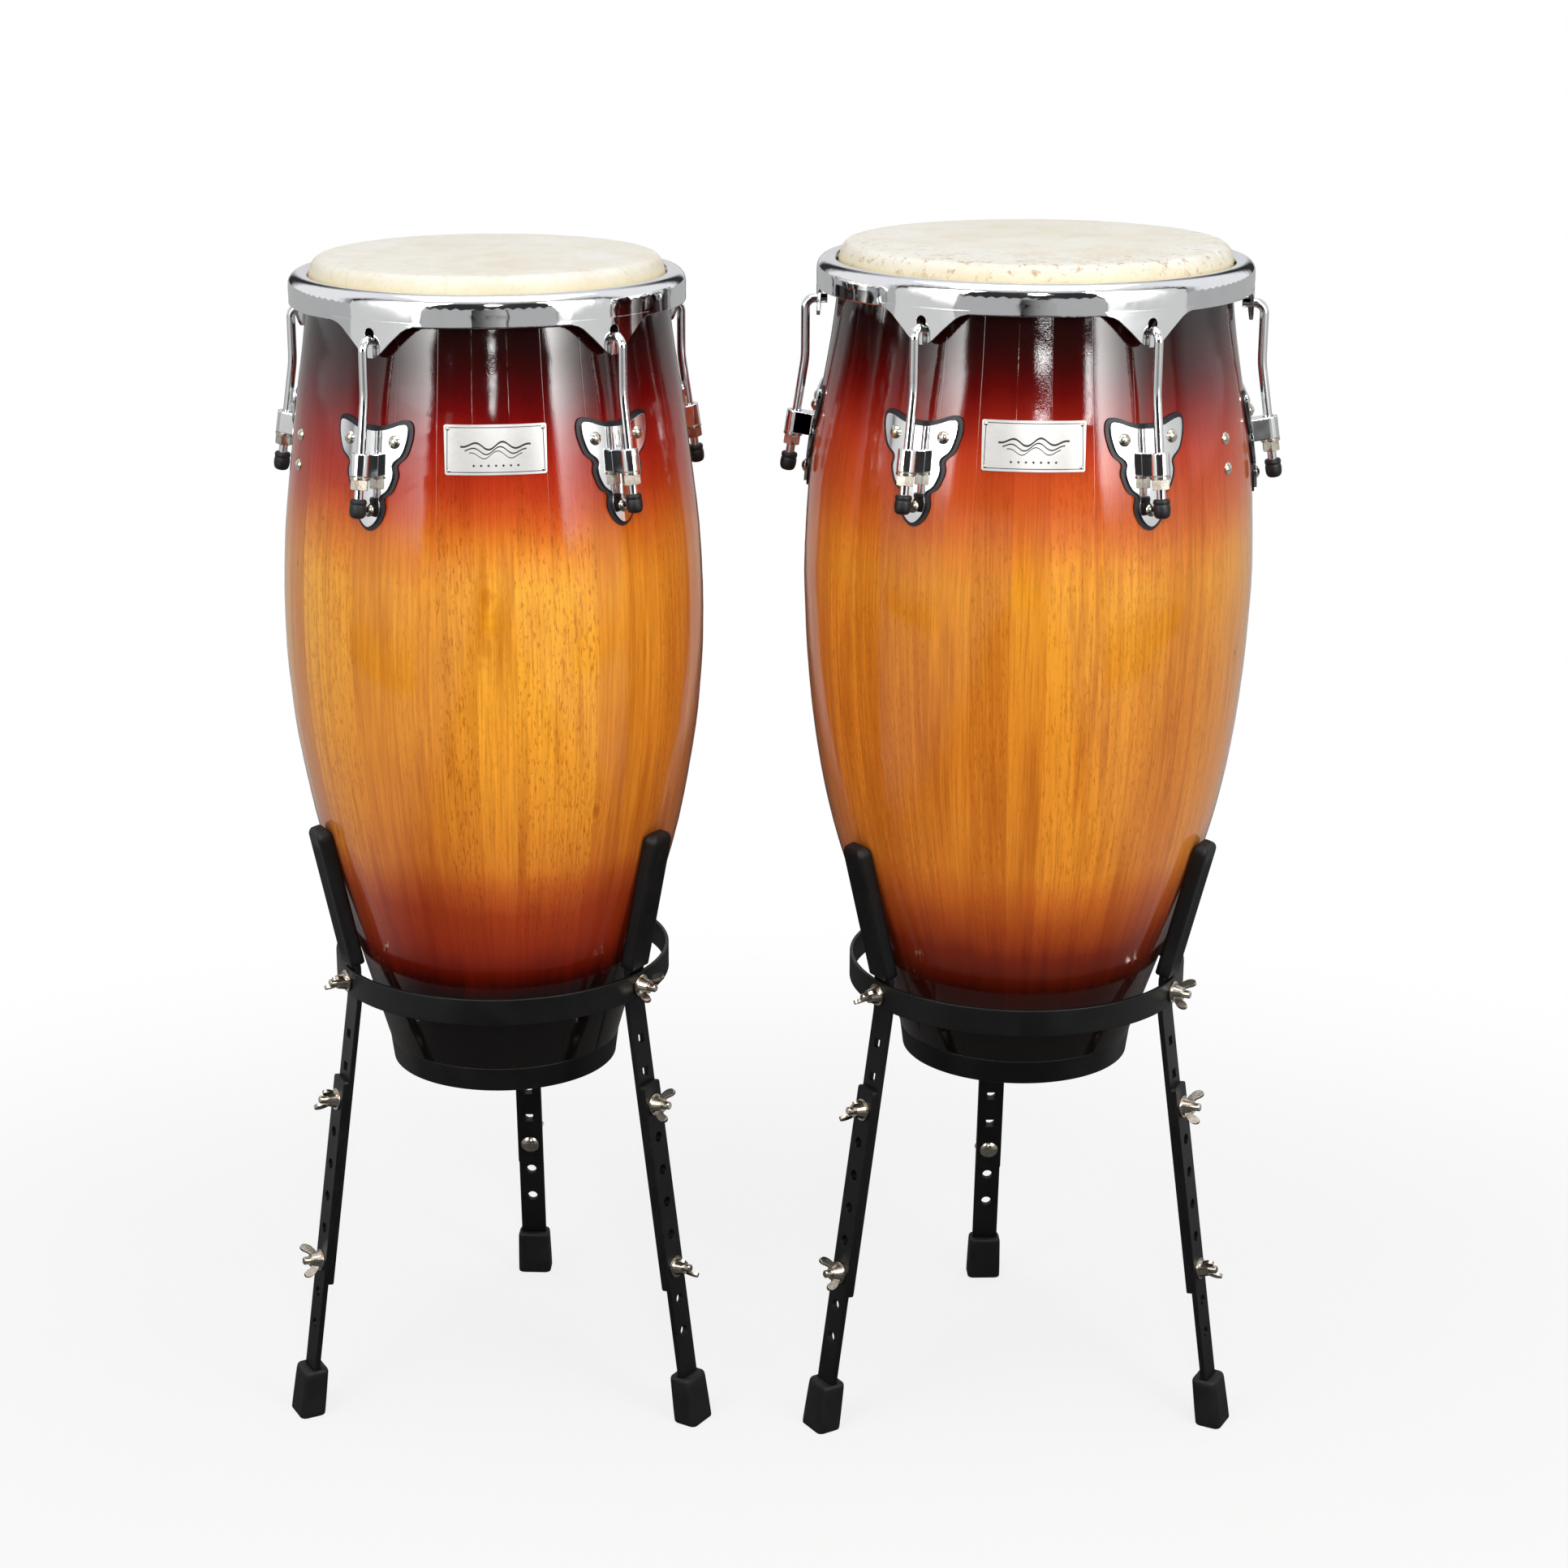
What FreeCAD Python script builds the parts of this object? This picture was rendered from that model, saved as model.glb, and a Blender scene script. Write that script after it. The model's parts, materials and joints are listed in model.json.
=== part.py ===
import FreeCAD, Part
import math
import os

# Pair of conga drums, each standing in its own three-legged basket stand.
# Millimetres, +Z up, player's side towards -Y. Origin: floor level, middle of the pair.
# Azimuths are in degrees from the front (-Y) towards +X. Parts that repeat round a drum
# are built at azimuth 0 and then turned into place.

Vector = FreeCAD.Vector
ORIGIN = Vector(0, 0, 0)
UP = Vector(0, 0, 1)
SIDEWAYS = Vector(1, 0, 0)
FORWARD = Vector(0, -1, 0)      # outwards at azimuth 0
INWARD = Vector(0, 1, 0)

# ------------------------------------------------------------------ driving dimensions
DRUM_SPACING_X = 390.9          # distance between the two drum axes, sideways
DRUM_SPACING_Y = 12.6           # and front to back
CENTRE_SHIFT = (-7.34, -8.985)  # puts the middle of the whole pair on the origin

# Shell and bottom band
WALL = 10.5                     # stave thickness
BAND_LOW_R = 85.1               # outer radius of the band at its lower edge
BAND_T = 1.5

# Head and counter-hoop
SKIN_T = 1.85                   # rawhide thickness
SKIN_BODY_T = SKIN_T - 0.05     # as modelled, leaving a little clearance
SKIN_GAP = 0.12                 # between skin and shell
FLESH_R = 3.0                   # section radius of the flesh ring
WRAP_IN_R = FLESH_R + 0.05      # skin wrapped round the flesh ring
WRAP_OUT_R = WRAP_IN_R + SKIN_BODY_T
RIM_T = 2.3                     # counter-hoop plate thickness
SLOT_R = 3.7                    # rod slot in an ear
SLOT_HALF_H = 5.7

# Tension rods
ROD_R = 3.2
ROD_LEAN = 8.8                  # rods lean outwards below the ear (degrees)
ROD_LEAN_RAD = math.radians(ROD_LEAN)
ROD_DOWN = Vector(0, -math.sin(ROD_LEAN_RAD), -math.cos(ROD_LEAN_RAD))
ROD_STAND_OFF = 8.1             # rod axis outside the hoop's skirt
ROD_BELOW_RECEIVER = 33.0       # rod end below the receiver's centre
HOOK_R = 7.0                    # bend from the stub to the straight drop
LEAN_BEND_R = 70.0              # bend from the drop to the lean
RECEIVER_R = 6.8                # half-round boss of the receiver
RECEIVER_H = 16.0
RECEIVER_BORE_R = 3.9
NUT_BORE_R = 3.7
NUT_AF = 11.3                   # across flats
NUT_H = 7.0
CAP_R, CAP_L = 5.9, 13.5
CAP_START = 23.3                # cap's upper end below the receiver's centre

# Side plates and badge: gaps are measured outwards from the shell
GASKET_T, PLATE_T = 1.45, 2.0
GASKET_IN = 0.08
GASKET_OUT = GASKET_IN + GASKET_T
PLATE_IN = GASKET_OUT + 0.05
PLATE_OUT = PLATE_IN + PLATE_T
BADGE_IN, BADGE_OUT = 0.16, 1.0
BADGE_HALF_W, BADGE_HALF_H, BADGE_CORNER = 35.0, 17.0, 1.0
BADGE_PIN_X, BADGE_PIN_Z = 32.2, 14.2
M5_R, M6_R = 2.5, 3.0

# Stand
RING_OUT_R, RING_T, RING_H = 126.5, 3.0, 20.0
BAR_W, BAR_T = 20.0, 4.0
BAR_FACE_R = 122.95             # outer face of an upright where it passes the ring
BAR_MID_R = BAR_FACE_R - BAR_T / 2
BAR_GAP = 0.15                  # between upright and lower leg
LEG_OFF = BAR_T + BAR_GAP       # lower leg's mid plane outside the upright's
HOLE_PITCH = 26.0
LOW_CLAMP_HOLE = 5              # hole number of the lower clamp, counted from the upper one
SQ_HOLE = 6.8                   # square adjustment hole in an upright
CORNER_R = 3.0                  # rounded corners at the bar ends
LEG_HOLE_R = 4.0                # round adjustment hole in a lower leg
UPPER_CLAMP_Z = 252.0
GRIP_W, GRIP_T = 24.0, 12.0
GRIP_ABOVE_RING = 5.0           # grip's mouth above the ring's top
SLEEVE_GAP = 0.06               # rubber clear of the bar inside it
FOOT_W, FOOT_T, FOOT_H = 27.0, 20.0, 37.0
FOOT_EXTRA = 25.0               # foot modelled this far below the floor, then cut flat
CLAMP_SEAT = -BAR_T / 2 - 0.03  # bolt head's seat from the upright's mid plane


def turned(start, turns):
    return [start + turn for turn in turns]


# outer: (radius, z) up the outside of the shell, foot to crest.
# badge_z and side_bolt_z are heights; all other *_z and plain levels are heights too.
DRUMS = {
    "small": dict(
        x=-DRUM_SPACING_X / 2, y=DRUM_SPACING_Y / 2,
        front=5.75, lugs=turned(5.75, (-36, 36, -108, 108, 180)),
        legs=turned(-62.5, (0, 120, 240)),
        outer=[(87.45, 286.7), (91.3, 300), (102.5, 340), (113.8, 380), (125.2, 420),
               (130.9, 440), (136.7, 464), (141.4, 488), (145.7, 513), (149.2, 537),
               (151.5, 562), (153.3, 587), (153.8, 610), (153.7, 634), (152.7, 658),
               (151.2, 681), (148.0, 710), (143.0, 750), (137.5, 790), (134.0, 812),
               (128.2, 850), (125.6, 862), (124.4, 868.4), (122.0, 873.2), (118.5, 876.05)],
        band_bottom=268.0, rim_r=142.1, rim_plane=864.0,
        skirt_bottom=845.2, ear_tip=822.5, stub_z=835.2, plate_z=751.0, rod_r_at_plate=157.2,
        badge_z=762.7, side_bolt_az=5.75 - 72, side_bolt_z=(758.0, 736.5), seam=149.75,
        ring_top=356.0, leg_lean=8.0, grip_top=468.0),
    "large": dict(
        x=DRUM_SPACING_X / 2, y=-DRUM_SPACING_Y / 2,
        front=-4.45, lugs=turned(-4.45, (-30, 30, -90, 90, -150, 150)),
        legs=turned(-58.5, (0, 120, 240)),
        outer=[(87.45, 297.6), (101.7, 340), (115.2, 380), (126.9, 415), (134.9, 440),
               (143.1, 470), (149.0, 497.6), (153.4, 524), (156.7, 549), (159.1, 573),
               (161.0, 598), (162.1, 622), (162.9, 645), (162.6, 669), (161.5, 693),
               (160.5, 710), (157.5, 741), (154.0, 765), (150.0, 790), (144.8, 820),
               (140.0, 858), (138.2, 873), (137.0, 879.4), (134.6, 884.2), (131.1, 887.05)],
        band_bottom=279.0, rim_r=155.3, rim_plane=875.0,
        skirt_bottom=856.8, ear_tip=834.6, stub_z=846.4, plate_z=757.5, rod_r_at_plate=170.6,
        badge_z=769.7, side_bolt_az=-4.45 + 60, side_bolt_z=(763.0, 742.0), seam=0.0,
        ring_top=352.5, leg_lean=8.4, grip_top=462.0),
}

# Right half of a side plate's outline, top to bottom: (sideways, up) from the plate's centre.
HALF_PLATE = [(0, 22.0), (7, 22.3), (16, 24.6), (23.5, 27.2), (27.2, 27.0), (28.3, 23.0),
              (26.6, 12.5), (23.2, 5.6), (19.0, 2.0), (17.6, -1.0), (18.3, -5.0),
              (17.0, -13.0), (12.6, -19.6), (9.2, -22.4), (8.6, -25.5), (9.4, -29.5),
              (8.4, -35.5), (4.6, -41.5)]
PLATE_TIP = (0.0, -44.0)
PLATE_BOLTS = [(-18.5, 15.0), (18.5, 15.0), (0.0, -33.0)]

# Flank of a counter-hoop ear down to just above its tip: (sideways, up) from the skirt's bottom.
EAR_FLANK = [(35.0, 3.0), (33.0, 0.2), (29.0, -0.9), (25.0, -3.2), (16.0, -11.3), (9.0, -18.2)]

# One wing of a wing nut: (distance from the bolt's axis, height).
WING = [(2.0, 1.4), (6.0, 1.6), (9.2, 3.6), (12.0, 6.6), (13.2, 9.8), (12.6, 12.6),
        (10.4, 13.4), (8.2, 11.8), (6.4, 8.6), (4.4, 6.4), (2.0, 6.2)]
WING_T = 2.7


# ------------------------------------------------------------------ helpers
def point(x, r, z):
    """A point in the frame that faces azimuth 0: x sideways, r outwards, z up."""
    return Vector(x, -r, z)


def spin(shape, azimuth):
    turned_shape = shape.copy()
    turned_shape.rotate(ORIGIN, UP, azimuth)
    return turned_shape


def around(shape, azimuths):
    return [spin(shape, azimuth) for azimuth in azimuths]


def first(shape):
    return shape.Solids[0]


def cyl(radius, height, base, direction):
    return Part.makeCylinder(radius, height, base, direction)


def spline(profile):
    curve = Part.BSplineCurve()
    curve.interpolate([point(0, r, z) for r, z in profile])
    return curve


def line(start, end):
    return Part.LineSegment(point(0, *start), point(0, *end)).toShape()


def arc(start, middle, end):
    return Part.Arc(point(0, *start), point(0, *middle), point(0, *end)).toShape()


def closed_polygon(points):
    return Part.makePolygon(points + [points[0]])


def polygon(profile):
    return closed_polygon([point(0, r, z) for r, z in profile])


def lathe(section):
    """Solid of revolution from a closed wire or from loose edges that close."""
    if not isinstance(section, Part.Wire):
        section = Part.Wire(Part.__sortEdges__(section))
    solid = first(Part.Face(section).revolve(ORIGIN, UP, 360))
    if solid.Volume < 0:
        solid.reverse()
    return solid


def offset(profile, distance):
    """(r, z) points moved sideways: outwards when the profile goes up."""
    moved = []
    last = len(profile) - 1
    for i, (r, z) in enumerate(profile):
        before, after = profile[max(i - 1, 0)], profile[min(i + 1, last)]
        dr, dz = after[0] - before[0], after[1] - before[1]
        length = math.hypot(dr, dz)
        moved.append((r + distance * dz / length, z - distance * dr / length))
    return moved


def radius_and_slope(curve, z):
    """Radius and outward slope (dr/dz) of a profile curve at height z, by bisection."""
    low, high = curve.FirstParameter, curve.LastParameter
    for _ in range(60):
        middle = (low + high) / 2
        if curve.value(middle).z < z:
            low = middle
        else:
            high = middle
    place, tangent = curve.value(low), curve.tangent(low)[0]
    return -place.y, -tangent.y / tangent.z


def radius_at(curve, z):
    return radius_and_slope(curve, z)[0]


def sampled(curve, z, end, step):
    """(radius, z) stations from z up to, but not including, end."""
    stations = []
    while z < end:
        stations.append((radius_at(curve, z), z))
        z += step
    return stations


def prism(outline, depth, start_r):
    """Outline in (sideways, up) extruded outwards from radius start_r by depth."""
    face = Part.Face(closed_polygon([point(x, start_r, z) for x, z in outline]))
    return face.extrude(FORWARD * depth)


def hexagon(across_flats, height, base, direction, both_ends=False):
    """Hexagonal prism, its corners bevelled at the far end and, if asked, at the base too."""
    corner_r = across_flats / math.sqrt(3)
    angles = [math.radians(60 * i) for i in range(6)]
    corners = [Vector(corner_r * math.cos(a), corner_r * math.sin(a), 0) for a in angles]
    solid = Part.Face(closed_polygon(corners)).extrude(Vector(0, 0, height))
    wide_r, narrow_r = corner_r + height * 1.2, corner_r - 0.75
    solid = solid.common(Part.makeCone(wide_r, narrow_r, height, ORIGIN, UP))
    if both_ends:
        solid = solid.common(Part.makeCone(narrow_r, wide_r, height, ORIGIN, UP))
    turn = FreeCAD.Rotation(UP, direction)
    solid.Placement = FreeCAD.Placement(base, turn).multiply(solid.Placement)
    return solid


def smooth_outline(keys, per_span, closed=True):
    """Catmull-Rom points through the keys; an open outline leaves out its last key."""
    count, outline = len(keys), []
    for i in range(count if closed else count - 1):
        if closed:
            a, b, c, d = [keys[(i + k) % count] for k in (-1, 0, 1, 2)]
        else:
            a, b, c, d = [keys[min(max(i + k, 0), count - 1)] for k in (-1, 0, 1, 2)]
        for j in range(per_span):
            t = j / per_span
            outline.append(tuple(
                0.5 * (2 * b[k] + (c[k] - a[k]) * t
                       + (2 * a[k] - 5 * b[k] + 4 * c[k] - d[k]) * t * t
                       + (3 * b[k] - a[k] - 3 * c[k] + d[k]) * t ** 3)
                for k in (0, 1)))
    return outline


def dome_radius(edge_r, height):
    """Sphere radius of a domed bolt head."""
    return (edge_r ** 2 + height ** 2) / (2 * height)


# ------------------------------------------------------------------ places on the shell
def surface_frame(curve, z, azimuth):
    """Point on the shell's outer surface and the outward normal there."""
    r, slope = radius_and_slope(curve, z)
    tilt = math.atan(slope)
    turn = FreeCAD.Rotation(UP, azimuth)
    normal = Vector(0, -math.cos(tilt), -math.sin(tilt))
    return turn.multVec(point(0, r, z)), turn.multVec(normal)


def drill(curve, place, azimuth, radius, start, depth):
    """Hole cutter square to the shell, from `start` outside it inwards.

    place is (azimuth, z), turned by a further azimuth."""
    base, normal = surface_frame(curve, place[1], place[0] + azimuth)
    return cyl(radius, depth, base + normal * start, normal * -1)


def surface_places(curve, centre_z, offsets):
    """(azimuth, z) of points given as (sideways, up) from a centre at azimuth 0."""
    places = []
    for x, up in offsets:
        z = centre_z + up
        places.append((math.degrees(math.asin(x / radius_at(curve, z))), z))
    return places


def shell_layer(curve, bottom_z, spans, inner_gap, outer_gap):
    """Layer lying round the shell, in spans 5 high."""
    stations = [bottom_z + 5 * k for k in range(spans + 1)]
    inner = [(radius_at(curve, z) + inner_gap, z) for z in stations]
    outer = [(radius_at(curve, z) + outer_gap, z) for z in stations]
    return lathe([spline(inner).toShape(), line(inner[-1], outer[-1]),
                  spline(outer).toShape(), line(outer[0], inner[0])])


# ------------------------------------------------------------------ shell, band, head
def make_shell(drum, curve, holes):
    """Shell of staves, with its holes; the lower end is stepped in to take the band."""
    outer = drum["outer"]
    foot_r, foot_z = outer[0]
    crest_r, crest_z = outer[-1]
    top_z = drum["rim_plane"] - 3
    stations = sampled(curve, foot_z, top_z, 9.0) + [(radius_at(curve, top_z), top_z)]
    inner = offset(stations, -WALL)
    end_z = drum["band_bottom"] + 1.6
    step = (foot_r - 1.58, foot_z)
    end_outer = (BAND_LOW_R - 1.48, end_z)
    end_inner = (BAND_LOW_R - WALL - 1.0, end_z)
    lip = (crest_r - 2.6, crest_z - 1.6)
    shell = lathe([curve.toShape(),
                   line(outer[0], step),
                   line(step, end_outer),
                   line(end_outer, end_inner),
                   line(end_inner, inner[0]),
                   spline(inner).toShape(),
                   line(inner[-1], lip),
                   arc(lip, (crest_r - 1.3, crest_z - 0.42), outer[-1])])
    return first(spin(shell, drum["seam"]).cut(Part.makeCompound(holes)))


def make_band(drum):
    """Bottom band: steel ring with a turned-in lip under the shell's end."""
    bottom, low_r = drum["band_bottom"], BAND_LOW_R
    high_r, foot_z = drum["outer"][0]
    top = foot_z - 0.1
    return lathe(polygon([(low_r - 6.5, bottom), (low_r - 0.6, bottom), (low_r, bottom + 0.6),
                          (high_r, top - 0.5), (high_r - 0.5, top), (high_r - BAND_T, top),
                          (low_r - BAND_T + 0.08, bottom + BAND_T),
                          (low_r - 6.5, bottom + BAND_T)]))


def flesh_centre(drum, curve):
    """(radius, z) of the flesh ring's section centre."""
    z = drum["skirt_bottom"] + 5.8
    return radius_at(curve, z) + 0.25 + SKIN_T + WRAP_IN_R, z


def polar(centre, radius, degrees):
    """(r, z) point at a distance and angle from a section centre; 0 degrees is outwards."""
    angle = math.radians(degrees)
    return centre[0] + radius * math.cos(angle), centre[1] + radius * math.sin(angle)


def make_head(drum, curve, centre):
    """Rawhide head: flat top, turned down over the crest and wrapped round the flesh ring."""
    centre_r, centre_z = centre
    crest_r, crest_z = drum["outer"][-1]
    stations = sampled(curve, centre_z, crest_z - 12, 2.5)
    stations += [place for place in drum["outer"] if place[1] > crest_z - 10]
    inner = offset(stations, SKIN_GAP)
    outer = offset(stations, SKIN_GAP + SKIN_BODY_T)
    inner[0] = (centre_r - WRAP_OUT_R, centre_z)
    outer[0] = (centre_r - WRAP_IN_R, centre_z)
    inner = [place for place in inner if place[1] < crest_z - 0.4]
    outer = [place for place in outer if place[1] < crest_z + SKIN_T - 1.2]
    under_z = crest_z + SKIN_GAP
    top_z = under_z + SKIN_BODY_T
    flat_r = crest_r - 3.0
    inner += [(crest_r + 0.3, under_z - 0.06), (flat_r, under_z)]
    outer += [(crest_r + 1.2, top_z - 0.28), (flat_r, top_z)]

    def wrap(radius, degrees):
        return polar(centre, radius, degrees)

    return lathe([line((0, top_z), (flat_r, top_z)),
                  spline(outer[::-1]).toShape(),
                  arc(wrap(WRAP_IN_R, 180), wrap(WRAP_IN_R, 330), wrap(WRAP_IN_R, 478)),
                  line(wrap(WRAP_IN_R, 478), wrap(WRAP_OUT_R, 478)),
                  arc(wrap(WRAP_OUT_R, 478), wrap(WRAP_OUT_R, 330), wrap(WRAP_OUT_R, 180)),
                  spline(inner).toShape(),
                  line((flat_r, under_z), (0, under_z)),
                  line((0, under_z), (0, top_z))])


# ------------------------------------------------------------------ counter-hoop
def make_hoop_section(drum, flesh):
    """Revolved plate: lip on the wrapped skin, rolled crown, straight skirt."""
    rim_r, plane, bottom = drum["rim_r"], drum["rim_plane"], drum["skirt_bottom"]
    skirt_r = rim_r - RIM_T / 2
    skirt_top = (skirt_r, plane - 6.4)
    lip = polar(flesh, WRAP_OUT_R + RIM_T / 2 + 0.10, 112)
    keys = [lip, (rim_r - 13.2, plane - 3.0), (rim_r - 12.6, plane + 0.9),
            (rim_r - 8.6, plane + 2.3), (rim_r - 4.6, plane + 1.2),
            (rim_r - 1.7, plane - 2.2), skirt_top]
    middle = smooth_outline(keys, 5, closed=False)
    middle += [skirt_top, (skirt_r, bottom + 8.0), (skirt_r, bottom + RIM_T / 2)]
    side_a, side_b = offset(middle, RIM_T / 2), offset(middle, -RIM_T / 2)
    dr, dz = middle[0][0] - middle[1][0], middle[0][1] - middle[1][1]
    scale = RIM_T / 2 / math.hypot(dr, dz)
    lip_end = (middle[0][0] + dr * scale, middle[0][1] + dz * scale)
    return lathe([spline(side_a).toShape(), arc(side_a[0], lip_end, side_b[0]),
                  spline(side_b).toShape(), arc(side_a[-1], (skirt_r, bottom), side_b[-1])])


def make_ear(drum):
    rim_r, bottom = drum["rim_r"], drum["skirt_bottom"]
    tip = drum["ear_tip"] - bottom
    flank = EAR_FLANK + [(4.6, tip + 0.9), (2.4, tip)]
    outline = flank + [(-x, z) for x, z in reversed(flank)]
    ear = prism([(x, z + bottom) for x, z in outline], 60, rim_r - 50)
    return ear.common(lathe(polygon([(rim_r - RIM_T, bottom - 40), (rim_r, bottom - 40),
                                     (rim_r, bottom + 6), (rim_r - RIM_T, bottom + 6)])))


def make_slot(drum):
    """Cutter for the upright slot with round ends that takes a rod's stub."""
    y, z = -drum["rim_r"] - 10, drum["stub_z"] + 2.3
    half_flat = SLOT_HALF_H - SLOT_R
    slot = Part.makeBox(2 * SLOT_R, 60, 2 * half_flat, Vector(-SLOT_R, y, z - half_flat))
    for side in (-1, 1):
        slot = slot.fuse(cyl(SLOT_R, 60, Vector(0, y, z + side * half_flat), INWARD))
    return slot


def make_rim(drum, flesh):
    """Counter-hoop with one slotted ear per rod."""
    rim, ear, slot = make_hoop_section(drum, flesh), make_ear(drum), make_slot(drum)
    for azimuth in drum["lugs"]:
        rim = rim.fuse(spin(ear, azimuth))
    for azimuth in drum["lugs"]:
        rim = rim.cut(spin(slot, azimuth))
    return first(rim)


# ------------------------------------------------------------------ tension rod and fittings
def receiver_centre(drum):
    return point(0, drum["rod_r_at_plate"], drum["plate_z"])


def make_rod(drum):
    """Short stub through the ear, hook, straight drop, outward lean through the receiver."""
    rim_r, stub_z = drum["rim_r"], drum["stub_z"]
    drop_r = rim_r + ROD_STAND_OFF
    lean = ROD_LEAN_RAD
    bend_z = drum["plate_z"] + (drum["rod_r_at_plate"] - drop_r) / math.tan(lean)
    bend_reach = LEAN_BEND_R * math.tan(lean / 2)
    hook_mid = HOOK_R * math.sqrt(0.5)
    stub_start = point(0, rim_r - 7.6, stub_z)
    stub_end = point(0, drop_r - HOOK_R, stub_z)
    on_hook = point(0, drop_r - HOOK_R + hook_mid, stub_z - HOOK_R + hook_mid)
    drop_start = point(0, drop_r, stub_z - HOOK_R)
    drop_end = point(0, drop_r, bend_z + bend_reach)
    on_bend = point(0, drop_r + LEAN_BEND_R - LEAN_BEND_R * math.cos(lean / 2),
                    bend_z + bend_reach - LEAN_BEND_R * math.sin(lean / 2))
    lean_start = point(0, drop_r, bend_z) + ROD_DOWN * bend_reach
    end = receiver_centre(drum) + ROD_DOWN * ROD_BELOW_RECEIVER
    path = Part.Wire([Part.LineSegment(stub_start, stub_end).toShape(),
                      Part.Arc(stub_end, on_hook, drop_start).toShape(),
                      Part.LineSegment(drop_start, drop_end).toShape(),
                      Part.Arc(drop_end, on_bend, lean_start).toShape(),
                      Part.LineSegment(lean_start, end).toShape()])
    section = Part.Wire(Part.makeCircle(ROD_R, stub_start, FORWARD))
    rod = first(path.makePipeShell([section], True, False))
    if rod.Volume < 0:
        rod.reverse()
    return rod


def make_rod_cap(centre):
    """Rubber cap on the rod's lower end, well rounded at the bottom."""
    cap = cyl(CAP_R, CAP_L, centre + ROD_DOWN * CAP_START, ROD_DOWN)

    def end_circles(nearest, farthest):
        return [e for e in cap.Edges if abs(e.Length - 2 * math.pi * CAP_R) < 0.01
                and nearest < (e.CenterOfMass - centre).Length < farthest]

    cap = cap.makeFillet(4.2, end_circles(30, 100))
    cap = cap.makeFillet(0.8, end_circles(0, 25))
    return first(cap.cut(cyl(ROD_R + 0.02, 10.0, centre + ROD_DOWN * 23.2, ROD_DOWN)))


def make_rod_nut(centre):
    """Washer and nut below the receiver."""
    def on_rod(radius, height, below):
        return cyl(radius, height, centre + ROD_DOWN * below, ROD_DOWN)

    washer = on_rod(6.9, 1.9, 8.05).cut(on_rod(NUT_BORE_R, 4, 7.5))
    nut = hexagon(NUT_AF, NUT_H, centre + ROD_DOWN * 10.0, ROD_DOWN, both_ends=True)
    nut = nut.cut(on_rod(NUT_BORE_R, NUT_H + 2, 9.0))
    return [first(washer), first(nut)]


# ------------------------------------------------------------------ side plates
def plate_blank(centre_z, grow=0.0):
    """Side plate outline, grown outwards, as a block through the shell's wall."""
    outline = HALF_PLATE + [PLATE_TIP] + [(-x, z) for x, z in reversed(HALF_PLATE[1:])]
    count, corners = len(outline), []
    for i, (x, z) in enumerate(outline):
        before, after = outline[i - 1], outline[(i + 1) % count]
        dx, dz = after[0] - before[0], after[1] - before[1]
        length = math.hypot(dx, dz)
        corners.append(point(x - grow * dz / length, 90, z + grow * dx / length + centre_z))
    curve = Part.BSplineCurve()
    curve.interpolate(corners, PeriodicFlag=True)
    return Part.Face(Part.Wire(curve.toShape())).extrude(FORWARD * 110)


def make_receiver(drum, curve):
    """Half-round boss with a flat-sided back that reaches into the plate."""
    stand_off = drum["rod_r_at_plate"] - radius_at(curve, drum["plate_z"]) - PLATE_OUT
    depth = stand_off * math.cos(ROD_LEAN_RAD) + 1.0
    bottom = -RECEIVER_H / 2
    block = Part.makeBox(2 * RECEIVER_R, depth, RECEIVER_H, Vector(-RECEIVER_R, 0, bottom))
    block = block.fuse(cyl(RECEIVER_R, RECEIVER_H, Vector(0, 0, bottom), UP)).removeSplitter()
    # The rounding of the end faces' edges may fail; the block then stays sharp.
    try:
        block = block.makeFillet(0.9, [e for e in block.Edges if e.BoundBox.ZLength < 0.01
                                       and e.BoundBox.YMin < depth - 0.1])
    except Exception:
        pass
    block = block.cut(cyl(RECEIVER_BORE_R, RECEIVER_H + 2, Vector(0, 0, bottom - 1), UP))
    block.Placement = FreeCAD.Placement(receiver_centre(drum),
                                        FreeCAD.Rotation(SIDEWAYS, -ROD_LEAN))
    return block


def make_side_plate(drum, curve, bolt_places):
    """Side plate with its receiver, and the gasket that shows round it."""
    centre_z = drum["plate_z"]
    bottom_z = centre_z - 55
    gasket = plate_blank(centre_z, 3.0).common(
        shell_layer(curve, bottom_z, 20, GASKET_IN, GASKET_OUT))
    plate = plate_blank(centre_z).common(
        shell_layer(curve, bottom_z, 20, PLATE_IN, PLATE_OUT))
    plate = plate.fuse(make_receiver(drum, curve))
    for place in bolt_places:
        hole = drill(curve, place, 0, M5_R + 0.15, 12, 40)
        plate = plate.cut(hole)
        gasket = gasket.cut(hole)
    return first(plate), first(gasket)


# ------------------------------------------------------------------ badge and fasteners
def make_badge(drum, curve, pin_places):
    """Thin curved plate with cut corners and four pin holes."""
    z = drum["badge_z"]
    w, h = BADGE_HALF_W, BADGE_HALF_H
    short_w, short_h = w - BADGE_CORNER, h - BADGE_CORNER
    outline = [(-short_w, z - h), (-w, z - short_h), (-w, z + short_h), (-short_w, z + h),
               (short_w, z + h), (w, z + short_h), (w, z - short_h), (short_w, z - h)]
    badge = prism(outline, 110, 90).common(
        shell_layer(curve, z - 30, 12, BADGE_IN, BADGE_OUT))
    for place in pin_places:
        badge = badge.cut(drill(curve, place, 0, 0.82, 3, 6))
    return first(spin(badge, drum["front"]))


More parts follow.
